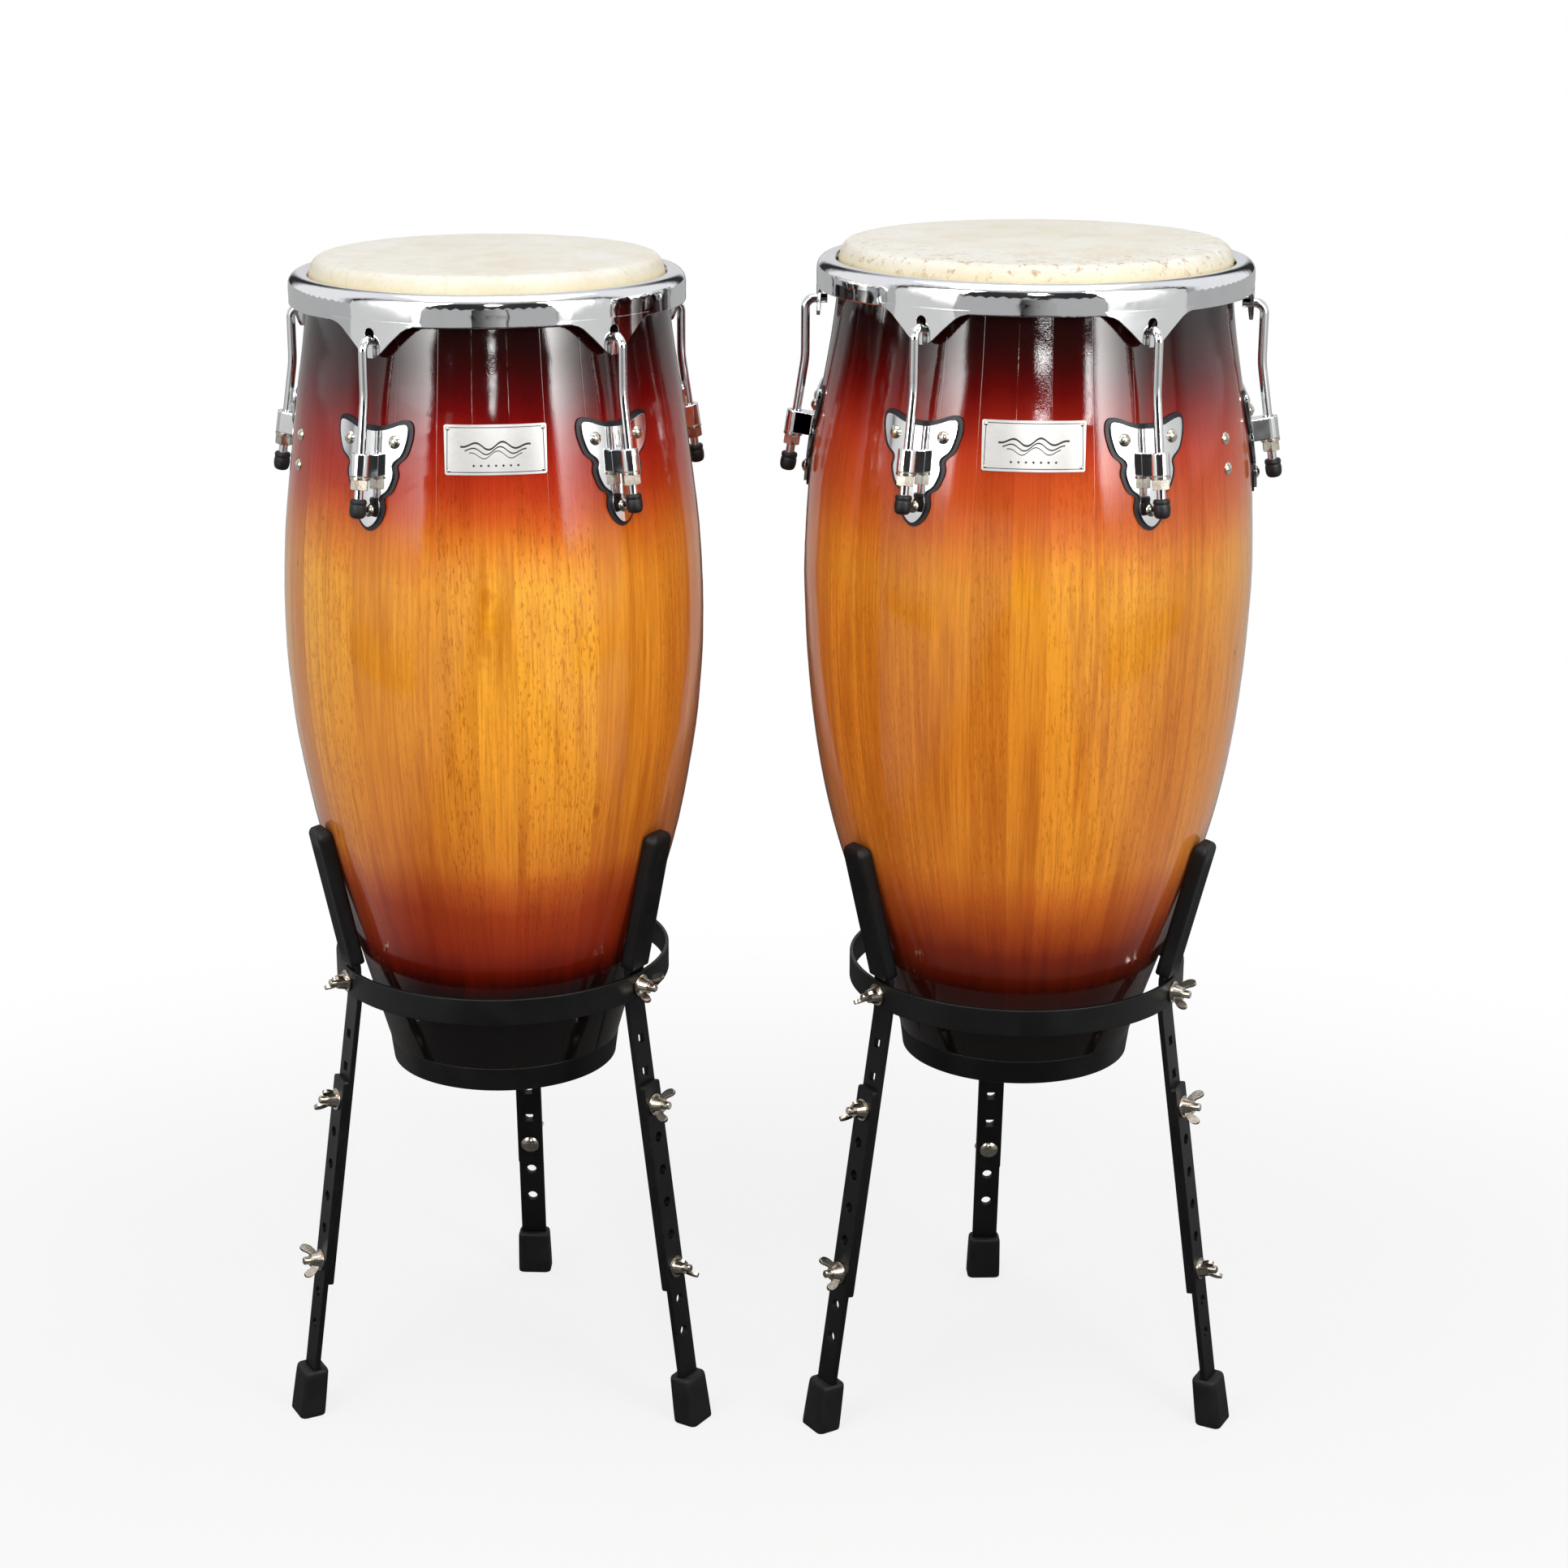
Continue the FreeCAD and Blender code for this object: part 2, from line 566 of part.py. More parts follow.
def round_head_bolt(base, normal, seat_gap, reach, shank_r=M5_R, head_r=4.65, head_h=2.7):
    """Round-head bolt: base on the shell, head seated seat_gap outside, shank to reach inside."""
    ball_r = dome_radius(head_r, head_h)
    seat = base + normal * seat_gap
    ball = Part.makeSphere(ball_r, seat + normal * (head_h - ball_r))
    head = ball.common(cyl(head_r + 1, head_h + 1, seat, normal))
    shank = cyl(shank_r, seat_gap + reach + 0.6, seat + normal * 0.6, normal * -1)
    return first(head.fuse(shank).removeSplitter())


def flange_nut(seat, normal):
    """Flanged hexagon nut on the inner wall; normal points out of the drum."""
    height = 4.2
    inwards = normal * -1
    nut = cyl(5.6, 1.1, seat, inwards).fuse(hexagon(8.0, height, seat, inwards)).removeSplitter()
    return first(nut.cut(cyl(M5_R + 0.03, height + 2, seat + normal * 0.5, inwards)))


def make_fasteners(drum, curve, bolt_places, pin_places):
    """All bolts, nuts and badge pins in the shell, and the cutters for their holes."""
    fasteners, holes = [], []

    def add_bolt(place, azimuth, seat_gap):
        base, normal = surface_frame(curve, place[1], place[0] + azimuth)
        fasteners.append(round_head_bolt(base, normal, seat_gap, WALL + 7.2))
        fasteners.append(flange_nut(base - normal * (WALL + 0.3), normal))
        holes.append(drill(curve, place, azimuth, M5_R + 0.2, 6, WALL + 14))

    for azimuth in drum["lugs"]:
        for place in bolt_places:
            add_bolt(place, azimuth, PLATE_OUT + 0.06)
    for z in drum["side_bolt_z"]:
        add_bolt((0, z), drum["side_bolt_az"], 0.12)
    for place in pin_places:
        base, normal = surface_frame(curve, place[1], place[0] + drum["front"])
        fasteners.append(round_head_bolt(base, normal, BADGE_OUT + 0.06, 5.5,
                                         shank_r=0.7, head_r=1.5, head_h=0.8))
        holes.append(drill(curve, place, drum["front"], 0.9, 2, 9))
    return fasteners, holes


def make_drum(drum, curve):
    lugs = drum["lugs"]
    flesh = flesh_centre(drum, curve)
    receiver = receiver_centre(drum)
    bolt_places = surface_places(curve, drum["plate_z"], PLATE_BOLTS)
    pin_places = surface_places(curve, drum["badge_z"], [
        (x, z) for x in (-BADGE_PIN_X, BADGE_PIN_X) for z in (-BADGE_PIN_Z, BADGE_PIN_Z)])
    plate, gasket = make_side_plate(drum, curve, bolt_places)
    fasteners, holes = make_fasteners(drum, curve, bolt_places, pin_places)
    parts = {
        "head": make_head(drum, curve, flesh),
        "flesh_ring": Part.makeTorus(flesh[0], FLESH_R, Vector(0, 0, flesh[1]), UP),
        "rim": make_rim(drum, flesh),
        "shell": make_shell(drum, curve, holes),
        "bottom_band": make_band(drum),
        "side_plates": around(plate, lugs),
        "plate_gaskets": around(gasket, lugs),
        "tension_rods": around(make_rod(drum), lugs),
        "rod_caps": around(make_rod_cap(receiver), lugs),
        "shell_fasteners": fasteners,
        "badge": make_badge(drum, curve, pin_places),
    }
    nut_group = make_rod_nut(receiver)
    for i, azimuth in enumerate(lugs, 1):
        parts["tension_nut_%d" % i] = [spin(solid, azimuth) for solid in nut_group]
    return parts


# ------------------------------------------------------------------ stand clamps
def wing_nut(turn):
    """Wing nut seated on z = 0, bolt axis +Z, wings turned by `turn` degrees."""
    boss = Part.makeCone(6.6, 4.9, 7.0, ORIGIN, UP)
    outline = smooth_outline(WING, 4)
    face = Part.Face(closed_polygon([Vector(x, -WING_T / 2, z) for x, z in outline]))
    wing = face.extrude(Vector(0, WING_T, 0))
    bore = cyl(M6_R + 0.05, 20, Vector(0, 0, -2), UP)
    nut = first(boss.fuse(wing).fuse(spin(wing, 180)).cut(bore))
    nut.rotate(ORIGIN, UP, turn)
    return nut


def carriage_bolt(length):
    """Head under z = 0 (dome towards -Z), square neck, plain shank along +Z."""
    head_r, head_h = 7.6, 3.4
    neck_w = 6.4
    tip_h = 0.7
    ball_r = dome_radius(head_r, head_h)
    ball = Part.makeSphere(ball_r, Vector(0, 0, ball_r - head_h))
    head = ball.common(cyl(head_r + 1, head_h + 1, Vector(0, 0, -head_h - 1), UP))
    neck = Part.makeBox(neck_w, neck_w, 3.9, Vector(-neck_w / 2, -neck_w / 2, -0.3))
    shank = cyl(M6_R, length, ORIGIN, UP)
    tip = Part.makeCone(M6_R, M6_R - tip_h, tip_h, Vector(0, 0, length), UP)
    return first(head.fuse(neck).fuse(shank).fuse(tip).removeSplitter())


def clamp_set(seat, normal, stack, turn):
    """Bolt with its head seated at `seat`; washer and wing nut `stack` further out."""
    side = normal.cross(SIDEWAYS)
    frame = FreeCAD.Placement(FreeCAD.Matrix(
        SIDEWAYS.x, side.x, normal.x, seat.x,
        SIDEWAYS.y, side.y, normal.y, seat.y,
        SIDEWAYS.z, side.z, normal.z, seat.z,
        0, 0, 0, 1))
    washer = first(cyl(8.2, 1.5, ORIGIN, UP).cut(cyl(M6_R + 0.25, 3, Vector(0, 0, -1), UP)))
    washer.translate(Vector(0, 0, stack + 0.05))
    nut = wing_nut(turn)
    nut.translate(Vector(0, 0, stack + 1.6))
    solids = [carriage_bolt(stack + 13.5), washer, nut]
    for solid in solids:
        solid.Placement = frame.multiply(solid.Placement)
    return solids


# ------------------------------------------------------------------ one stand
def upper_lean(curve, bend_z, grip_top):
    """Outward lean (radians) at which the grip's inner face just clears the belly."""
    belly = sampled(curve, bend_z + 10, grip_top, 1.0)

    def clears(lean):
        inner_r = BAR_MID_R - (GRIP_T / 2) / math.cos(lean)
        return all(inner_r + (z - bend_z) * math.tan(lean) >= r + 0.3 for r, z in belly)

    lean = math.radians(5.0)
    while lean < math.radians(20) and not clears(lean):
        lean += math.radians(0.05)
    return lean


class Leg:
    """Levels and directions of one leg at azimuth 0.

    Distances `along` the slanted lower run are measured down from the upper clamp,
    `off` is outwards from the upright's mid plane, x sideways."""

    def __init__(self, drum, curve):
        ring_top = drum["ring_top"]
        self.ring_mid_z = ring_top - RING_H / 2
        self.lean_deg = drum["leg_lean"]
        lean = math.radians(self.lean_deg)
        self.down = Vector(0, -math.sin(lean), -math.cos(lean))
        self.out = Vector(0, -math.cos(lean), math.sin(lean))
        low_z = ring_top - RING_H - 3.0
        self.low_bend = point(0, BAR_MID_R, low_z)
        self.origin = self.low_bend + self.down * ((low_z - UPPER_CLAMP_Z) / math.cos(lean))
        self.floor = self.origin.z / math.cos(lean)
        self.leg_end = self.floor - 6.5

        high_z = ring_top + 2.5
        self.high_bend = point(0, BAR_MID_R, high_z)
        self.up_lean = upper_lean(curve, high_z, drum["grip_top"])
        up_cos = math.cos(self.up_lean)
        self.up = Vector(0, -math.sin(self.up_lean), up_cos)
        self.up_len = (drum["grip_top"] - 6.0 - high_z) / up_cos
        self.grip_start = (ring_top + GRIP_ABOVE_RING - high_z) / up_cos
        self.grip_len = (drum["grip_top"] - high_z) / up_cos - self.grip_start

    def at(self, along, off=0.0, x=0.0):
        return self.origin + self.down * along + self.out * off + SIDEWAYS * x

    def slab(self, start, end, x0, x1, off, thick):
        """Box between two places along the leg, from `off` outwards by `thick`."""
        corners = [self.at(start, off, x0), self.at(end, off, x0),
                   self.at(end, off, x1), self.at(start, off, x1)]
        return Part.Face(closed_polygon(corners)).extrude(self.out * thick)

    def end_waste(self, end, sense, off):
        """Material outside a bar end's rounded corners; sense +1: the bar ends downwards."""
        thick = 8.0
        low = off - thick / 2
        half_w = BAR_W / 2
        centre = end - sense * CORNER_R
        blocks = []
        for side in (-1, 1):
            x = side * (half_w - CORNER_R)
            block = self.slab(centre, end + sense * 3, x, side * (half_w + 3), low, thick)
            blocks.append(block.cut(cyl(CORNER_R, thick, self.at(centre, low, x), self.out)))
        return Part.makeCompound(blocks)


def make_ring(drum, leg):
    """Flat bar rolled into a hoop, with a bolt hole at each leg."""
    bottom = drum["ring_top"] - RING_H
    ring = cyl(RING_OUT_R, RING_H, Vector(0, 0, bottom), UP).cut(
        cyl(RING_OUT_R - RING_T, RING_H + 2, Vector(0, 0, bottom - 1), UP))
    ring = ring.makeFillet(0.7, [e for e in ring.Edges if e.Length > 300])
    hole = cyl(M6_R + 0.35, 12, point(0, 132, leg.ring_mid_z), INWARD)
    for azimuth in drum["legs"]:
        ring = ring.cut(spin(hole, azimuth))
    return first(ring)


def square_hole(centre, normal, along):
    half = SQ_HOLE / 2
    base = centre - normal * 5
    corners = [base + SIDEWAYS * half + along * half, base - SIDEWAYS * half + along * half,
               base - SIDEWAYS * half - along * half, base + SIDEWAYS * half - along * half]
    return Part.Face(closed_polygon(corners)).extrude(normal * 10)


def rounded_bend(before, corner, after, reach):
    """(r, z) points of a soft bend that starts and ends `reach` from the corner."""
    back, ahead = before - corner, after - corner
    back.normalize()
    ahead.normalize()
    bend = []
    for k in range(5):
        t = k / 4
        place = corner + back * reach * (1 - t) ** 2 + ahead * reach * t ** 2
        bend.append((-place.y, place.z))
    return bend


def make_upright(leg):
    """Upright bar: slanted lower run, run past the ring, upper run inside the grip."""
    end = LOW_CLAMP_HOLE * HOLE_PITCH + 18.0
    bottom, top = leg.at(end), leg.high_bend + leg.up * leg.up_len
    middle = [(-bottom.y, bottom.z)]
    middle += rounded_bend(bottom, leg.low_bend, leg.high_bend, 6.0)
    # The upper bend is short so that it ends below the grip's mouth.
    middle += rounded_bend(leg.low_bend, leg.high_bend, top, 2.2)
    middle.append((-top.y, top.z))
    outer, inner = offset(middle, BAR_T / 2), offset(middle, -BAR_T / 2)
    face = Part.Face(polygon(outer + inner[::-1]))
    face.translate(SIDEWAYS * (-BAR_W / 2))
    bar = face.extrude(SIDEWAYS * BAR_W)
    bar = bar.cut(leg.end_waste(end, 1, 0.0))
    for k in range(-2, LOW_CLAMP_HOLE + 1):
        bar = bar.cut(square_hole(leg.at(k * HOLE_PITCH), leg.out, leg.down))
    ring_hole = square_hole(point(0, BAR_MID_R, leg.ring_mid_z), FORWARD, Vector(0, 0, -1))
    return first(bar.cut(ring_hole))


def make_grip(leg):
    """Rubber sleeve over the upright's upper run."""
    grip = Part.makeBox(GRIP_W, GRIP_T, leg.grip_len, Vector(-GRIP_W / 2, -GRIP_T / 2, 0))
    grip = grip.makeFillet(3.2, [e for e in grip.Edges if e.BoundBox.ZLength > 10])
    grip = grip.makeFillet(3.0, [e for e in grip.Edges if e.BoundBox.ZMin > leg.grip_len - 0.1])
    cavity = Part.makeBox(BAR_W + 2 * SLEEVE_GAP, BAR_T + 2 * SLEEVE_GAP,
                          leg.up_len - leg.grip_start + 0.2,
                          Vector(-BAR_W / 2 - SLEEVE_GAP, -BAR_T / 2 - SLEEVE_GAP, -0.1))
    grip = grip.cut(cavity)
    grip.Placement = FreeCAD.Placement(
        leg.high_bend + leg.up * leg.grip_start,
        FreeCAD.Rotation(SIDEWAYS, math.degrees(leg.up_lean)))
    return first(grip)


def make_lower_leg(leg):
    """Lower leg bar on the upright's outer face."""
    top = -17.5
    bar = leg.slab(top, leg.leg_end, -BAR_W / 2, BAR_W / 2, LEG_OFF - BAR_T / 2, BAR_T)
    bar = bar.cut(leg.end_waste(top, -1, LEG_OFF))
    for k in range(8):
        bar = bar.cut(cyl(LEG_HOLE_R, 12, leg.at(k * HOLE_PITCH, LEG_OFF - 6), leg.out))
    return first(bar)


def make_foot(leg):
    """Rubber foot: flat on the floor, following the leg's lean."""
    length = FOOT_H + FOOT_EXTRA
    foot = Part.makeBox(FOOT_W, FOOT_T, length, Vector(-FOOT_W / 2, -FOOT_T / 2, 0))
    foot = foot.makeFillet(4.5, [e for e in foot.Edges if e.BoundBox.ZLength > 10])
    foot = foot.makeFillet(2.6, [e for e in foot.Edges if e.BoundBox.ZMin > length - 0.1])
    foot.Placement = FreeCAD.Placement(leg.at(leg.floor + FOOT_EXTRA, LEG_OFF),
                                       FreeCAD.Rotation(SIDEWAYS, -leg.lean_deg))
    foot = first(foot.common(Part.makeBox(400, 400, 200, Vector(-200, -400, 0))))
    # The rounding of the floor edges may fail; the foot then stays sharp there.
    try:
        foot = foot.makeFillet(1.6, [e for e in foot.Edges if e.BoundBox.ZMax < 0.01])
    except Exception:
        pass
    half_w = BAR_W / 2 + SLEEVE_GAP
    cavity = leg.slab(leg.floor - 60, leg.leg_end + 0.3, -half_w, half_w,
                      LEG_OFF - BAR_T / 2 - SLEEVE_GAP, BAR_T + 2 * SLEEVE_GAP)
    return first(foot.cut(cavity))


def make_stand(drum, curve):
    legs = drum["legs"]
    leg = Leg(drum, curve)
    ring_stack = RING_OUT_R - (BAR_MID_R - BAR_T / 2) + 0.05
    leg_stack = 2 * BAR_T + BAR_GAP
    ring_seat = point(0, BAR_MID_R + CLAMP_SEAT, leg.ring_mid_z)
    low_seat = leg.at(LOW_CLAMP_HOLE * HOLE_PITCH, CLAMP_SEAT)
    ring_clamp = clamp_set(ring_seat, FORWARD, ring_stack, 35.0)
    low_clamp = clamp_set(low_seat, leg.out, leg_stack, -48.0)
    up_clamp = clamp_set(leg.at(0.0, CLAMP_SEAT), leg.out, leg_stack, 50.0)
    lower_leg, foot = make_lower_leg(leg), make_foot(leg)
    parts = {
        "stand_ring": make_ring(drum, leg),
        "stand_uprights": around(make_upright(leg), legs),
        "stand_grips": around(make_grip(leg), legs),
        "stand_clamps": [spin(solid, azimuth) for azimuth in legs
                         for solid in ring_clamp + low_clamp],
    }
    for i, azimuth in enumerate(legs, 1):
        parts["lower_leg_%d" % i] = spin(lower_leg, azimuth)
        parts["foot_%d" % i] = spin(foot, azimuth)
        parts["leg_clamp_%d" % i] = [spin(solid, azimuth) for solid in up_clamp]
    return parts


# ------------------------------------------------------------------ build and export
def main():
    os.makedirs("parts", exist_ok=True)
    for name, drum in DRUMS.items():
        curve = spline(drum["outer"])
        parts = make_drum(drum, curve)
        parts.update(make_stand(drum, curve))
        place = Vector(drum["x"] + CENTRE_SHIFT[0], drum["y"] + CENTRE_SHIFT[1], 0)
        for node, shape in parts.items():
            shape = Part.makeCompound(shape) if isinstance(shape, list) else shape.copy()
            shape.translate(place)
            shape.exportStep(os.path.join("parts", "%s_%s.step" % (name, node)))


main()
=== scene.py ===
"""A pair of conga-style drums, one small and one large, each on a three-legged stand.

The drums stand side by side on the floor (z = 0), upright along +Z, with their front towards -Y.
Azimuths are measured about a drum's own axis: 0 is the front (-Y), positive turns towards +X.
Scene values are in metres; profiles of the modelled pieces are in millimetres.
"""
import json
import math
import random
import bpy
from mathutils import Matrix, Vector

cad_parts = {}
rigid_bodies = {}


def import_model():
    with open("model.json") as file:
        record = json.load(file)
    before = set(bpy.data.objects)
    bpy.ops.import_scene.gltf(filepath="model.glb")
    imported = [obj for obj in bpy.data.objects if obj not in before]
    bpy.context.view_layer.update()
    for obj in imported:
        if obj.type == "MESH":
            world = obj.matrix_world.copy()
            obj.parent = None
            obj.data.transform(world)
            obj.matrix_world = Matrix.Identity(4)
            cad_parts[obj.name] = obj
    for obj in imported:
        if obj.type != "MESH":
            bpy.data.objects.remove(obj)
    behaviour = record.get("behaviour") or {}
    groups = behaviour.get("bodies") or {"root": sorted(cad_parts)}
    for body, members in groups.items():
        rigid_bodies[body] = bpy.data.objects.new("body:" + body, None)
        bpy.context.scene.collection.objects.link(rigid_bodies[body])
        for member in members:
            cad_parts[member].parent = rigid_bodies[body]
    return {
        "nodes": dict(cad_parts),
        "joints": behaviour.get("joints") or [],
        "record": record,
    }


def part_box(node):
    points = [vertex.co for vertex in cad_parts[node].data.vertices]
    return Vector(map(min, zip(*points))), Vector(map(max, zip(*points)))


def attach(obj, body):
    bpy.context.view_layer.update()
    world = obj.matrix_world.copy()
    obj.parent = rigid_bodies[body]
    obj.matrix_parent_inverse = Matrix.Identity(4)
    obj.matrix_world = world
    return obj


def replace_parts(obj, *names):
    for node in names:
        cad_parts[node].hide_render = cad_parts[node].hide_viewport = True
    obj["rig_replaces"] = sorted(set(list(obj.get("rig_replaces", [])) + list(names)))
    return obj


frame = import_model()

from types import SimpleNamespace

import bmesh
import bpy
import numpy as np
from mathutils import Vector

random.seed(7)
MM = 0.001
UP = Vector((0, 0, 1))

# Light levels (radiance)
WORLD_FILL = 0.28
PANEL_LIGHT = 19.0
FRONT_LIGHT = 26.0
TOP_LIGHT = 1.95

# Lengths in mm, leans in degrees from upright
DESIGN = {
    "small": dict(crest_inset=19.5, skin_seed=11, grip_lean=11.9, grip_top=468.0, foot_lean=8.0),
    "large": dict(crest_inset=18.4, skin_seed=23, grip_lean=14.0, grip_top=462.0, foot_lean=8.4),
}

# Lacquer bursts: (height in mm, sRGB colour), from the bottom of the shell to its top
SMALL_BURST = [
    (268, (13, 11, 10)), (330, (14, 11, 10)), (348, (20, 11, 9)), (358, (58, 10, 6)),
    (375, (112, 25, 8)), (390, (134, 39, 14)), (405, (146, 48, 17)), (420, (154, 55, 19)),
    (440, (180, 82, 28)), (460, (206, 116, 36)), (500, (220, 134, 40)), (560, (230, 147, 44)),
    (620, (234, 154, 47)), (668, (238, 158, 50)), (690, (228, 136, 43)), (702, (216, 116, 38)),
    (716, (200, 84, 32)), (730, (182, 58, 25)), (750, (164, 37, 20)), (770, (140, 24, 18)),
    (785, (110, 9, 10)), (800, (78, 7, 8)), (815, (54, 8, 7)), (835, (32, 9, 8)),
    (878, (18, 7, 7)),
]
LARGE_BURST = [
    (279, (13, 11, 10)), (330, (15, 11, 9)), (344, (46, 18, 12)), (358, (60, 13, 5)),
    (375, (98, 28, 10)), (390, (118, 36, 13)), (405, (152, 60, 19)), (420, (174, 78, 25)),
    (440, (202, 104, 33)), (460, (220, 128, 38)), (500, (224, 134, 40)), (560, (224, 135, 39)),
    (620, (228, 142, 42)), (672, (234, 151, 46)), (692, (231, 139, 45)), (708, (219, 114, 42)),
    (724, (208, 93, 38)), (742, (199, 77, 34)), (762, (188, 60, 32)), (778, (156, 40, 24)),
    (792, (126, 22, 14)), (806, (95, 9, 7)), (822, (62, 8, 7)), (840, (38, 9, 8)),
    (890, (18, 7, 7)),
]

# Wood knots: (azimuth in degrees, height in mm, core radius in mm, strength)
SMALL_KNOTS = [(33, 498, 5.0, 0.55), (2.5, 662, 6.5, 0.34), (2.0, 626, 6.0, 0.24),
               (-62, 668, 3.0, 0.6)]
LARGE_KNOTS = [(62.5, 606, 2.6, 0.9), (25, 690, 4.0, 0.18)]


def measure_drum(size):
    """Axis, heights, leg azimuths and lug joints of one drum, with its design values."""
    low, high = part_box(size + "_stand_ring")
    centre = Vector(((low.x + high.x) / 2, (low.y + high.y) / 2, 0))
    head_low, head_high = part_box(size + "_head")
    feet = [Vector(mounts["%s_foot_%d_rest" % (size, i)]["pos_m"]) for i in (1, 2, 3)]
    return SimpleNamespace(
        centre=centre,
        head_top=head_high.z,
        head_low=head_low.z,
        head_radius=(head_high.x - head_low.x) / 2,
        ring_top=high.z,
        feet=feet,
        legs=[math.atan2(foot.x - centre.x, centre.y - foot.y) for foot in feet],
        lugs=[joints[name] for name in sorted(joints) if name.startswith(size + "_nut_turn_")],
        **DESIGN[size])


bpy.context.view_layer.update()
nodes = frame["nodes"]
joints = {joint["name"]: joint for joint in frame["joints"]}
mounts = {mount["name"]: mount for mount in frame["record"]["mounts"]}
drums = {size: measure_drum(size) for size in ("small", "large")}


# ---------------------------------------------------------------- shader graph helpers
class Wire:
    """A node output; arithmetic on it adds Math nodes."""

    def __init__(self, graph, socket):
        self.graph = graph
        self.socket = socket

    def __add__(self, other):
        return self.graph.math("ADD", self, other)

    def __radd__(self, other):
        return self.graph.math("ADD", other, self)

    def __sub__(self, other):
        return self.graph.math("SUBTRACT", self, other)

    def __rsub__(self, other):
        return self.graph.math("SUBTRACT", other, self)

    def __mul__(self, other):
        return self.graph.math("MULTIPLY", self, other)

    def __truediv__(self, other):
        return self.graph.math("DIVIDE", self, other)

    def __pow__(self, other):
        return self.graph.math("POWER", self, other)

    def __abs__(self):
        return self.graph.math("ABSOLUTE", self)

    def remap(self, start, end, to=(0.0, 1.0), smooth=False):
        """Carry start..end onto the range `to`, clamped."""
        values = {"Value": self, "From Min": start, "From Max": end,
                  "To Min": to[0], "To Max": to[1]}
        return self.graph.add("ShaderNodeMapRange", values,
                              interpolation_type="SMOOTHSTEP" if smooth else "LINEAR")


class Graph:
    """The node tree of a material or world."""

    def __init__(self, owner, output="ShaderNodeOutputMaterial"):
        owner.use_nodes = True
        self.owner = owner
        self.tree = owner.node_tree
        self.tree.nodes.clear()
        self.output = self.node(output)

    def put(self, socket, value):
        if isinstance(value, Wire):
            self.tree.links.new(value.socket, socket)
            return
        if socket.type == "RGBA" and len(value) == 3:
            value = (*value, 1.0)
        socket.default_value = value

    def node(self, kind, values=None, **settings):
        made = self.tree.nodes.new(kind)
        for key, value in settings.items():
            setattr(made, key, value)
        for key, value in (values or {}).items():
            self.put(made.inputs[key], value)
        return made

    def wire(self, node, output=0):
        return Wire(self, node.outputs[output])

    def add(self, kind, values=None, output=0, **settings):
        return self.wire(self.node(kind, values, **settings), output)

    def surface(self, shader):
        self.put(self.output.inputs[0], shader)

    def math(self, operation, *values, clamp=False):
        return self.add("ShaderNodeMath", dict(enumerate(values)),
                        operation=operation, use_clamp=clamp)

    def vector_math(self, operation, *values):
        scalar = operation in ("LENGTH", "DOT_PRODUCT", "DISTANCE")
        return self.add("ShaderNodeVectorMath", dict(enumerate(values)),
                        output="Value" if scalar else 0, operation=operation)

    def combine(self, x, y, z):
        return self.add("ShaderNodeCombineXYZ", {0: x, 1: y, 2: z})

    def separate(self, vector):
        split = self.node("ShaderNodeSeparateXYZ", {0: vector})
        return [self.wire(split, axis) for axis in range(3)]

    def length_of(self, x, y):
        return self.vector_math("LENGTH", self.combine(x, y, 0.0))

    def coords(self, kind="Object"):
        return self.add("ShaderNodeTexCoord", output=kind)

    def noise(self, vector, scale, detail=2.0, rough=0.5, distortion=0.0):
        return self.add("ShaderNodeTexNoise", {
            "Vector": vector, "Scale": scale, "Detail": detail,
            "Roughness": rough, "Distortion": distortion})

    def ramp(self, factor, stops):
        made = self.node("ShaderNodeValToRGB", {0: factor})
        elements = made.color_ramp.elements
        while len(elements) > 1:
            elements.remove(elements[-1])
        for i, (position, colour) in enumerate(stops):
            element = elements.new(position) if i else elements[0]
            element.position = position
            element.color = (*colour, 1.0)
        return self.wire(made)

    def mix(self, factor, a, b, mode="MIX"):
        return self.add("ShaderNodeMix", output=2, values={0: factor, 6: a, 7: b},
                        data_type="RGBA", blend_type=mode, clamp_factor=True)

    def tinted(self, colour, tint):
        return self.mix(1.0, colour, tint, mode="MULTIPLY")

    def mix_shader(self, factor, a, b):
        return self.add("ShaderNodeMixShader", {0: factor, 1: a, 2: b})

    def bevel(self, radius):
        return self.add("ShaderNodeBevel", {"Radius": radius}, samples=3)

    def bump(self, height, strength, distance, normal=None):
        values = {"Strength": strength, "Distance": distance, "Height": height}
        if normal is not None:
            values["Normal"] = normal
        return self.add("ShaderNodeBump", values)

    def principled(self, **values):
        """Finish a material; underscores in the argument names stand for spaces."""
        values = {key.replace("_", " "): value for key, value in values.items()}
        self.surface(self.add("ShaderNodeBsdfPrincipled", values))
        return self.owner

    def polar(self, centre):
        """Azimuth, offset from the drum's axis at floor level, and that offset's x, y, z."""
        place = self.vector_math("SUBTRACT", self.coords(), tuple(centre))
        x, y, z = self.separate(place)
        return self.math("ARCTAN2", x, y * -1.0), place, (x, y, z)


def material_graph(name):
    return Graph(bpy.data.materials.new(name))


def srgb(*channels):
    """Linear colour from 0-255 sRGB channels."""
    shares = [channel / 255 for channel in channels]
    return tuple(c / 12.92 if c <= 0.04045 else ((c + 0.055) / 1.055) ** 2.4 for c in shares)


# ---------------------------------------------------------------- materials
def brighten(burst, gain):
    """Raise every colour of a burst except its near-black ends."""
    return [(height, tuple(min(255, c * (gain if sum(colour) > 150 else 1.0)) for c in colour))
            for height, colour in burst]


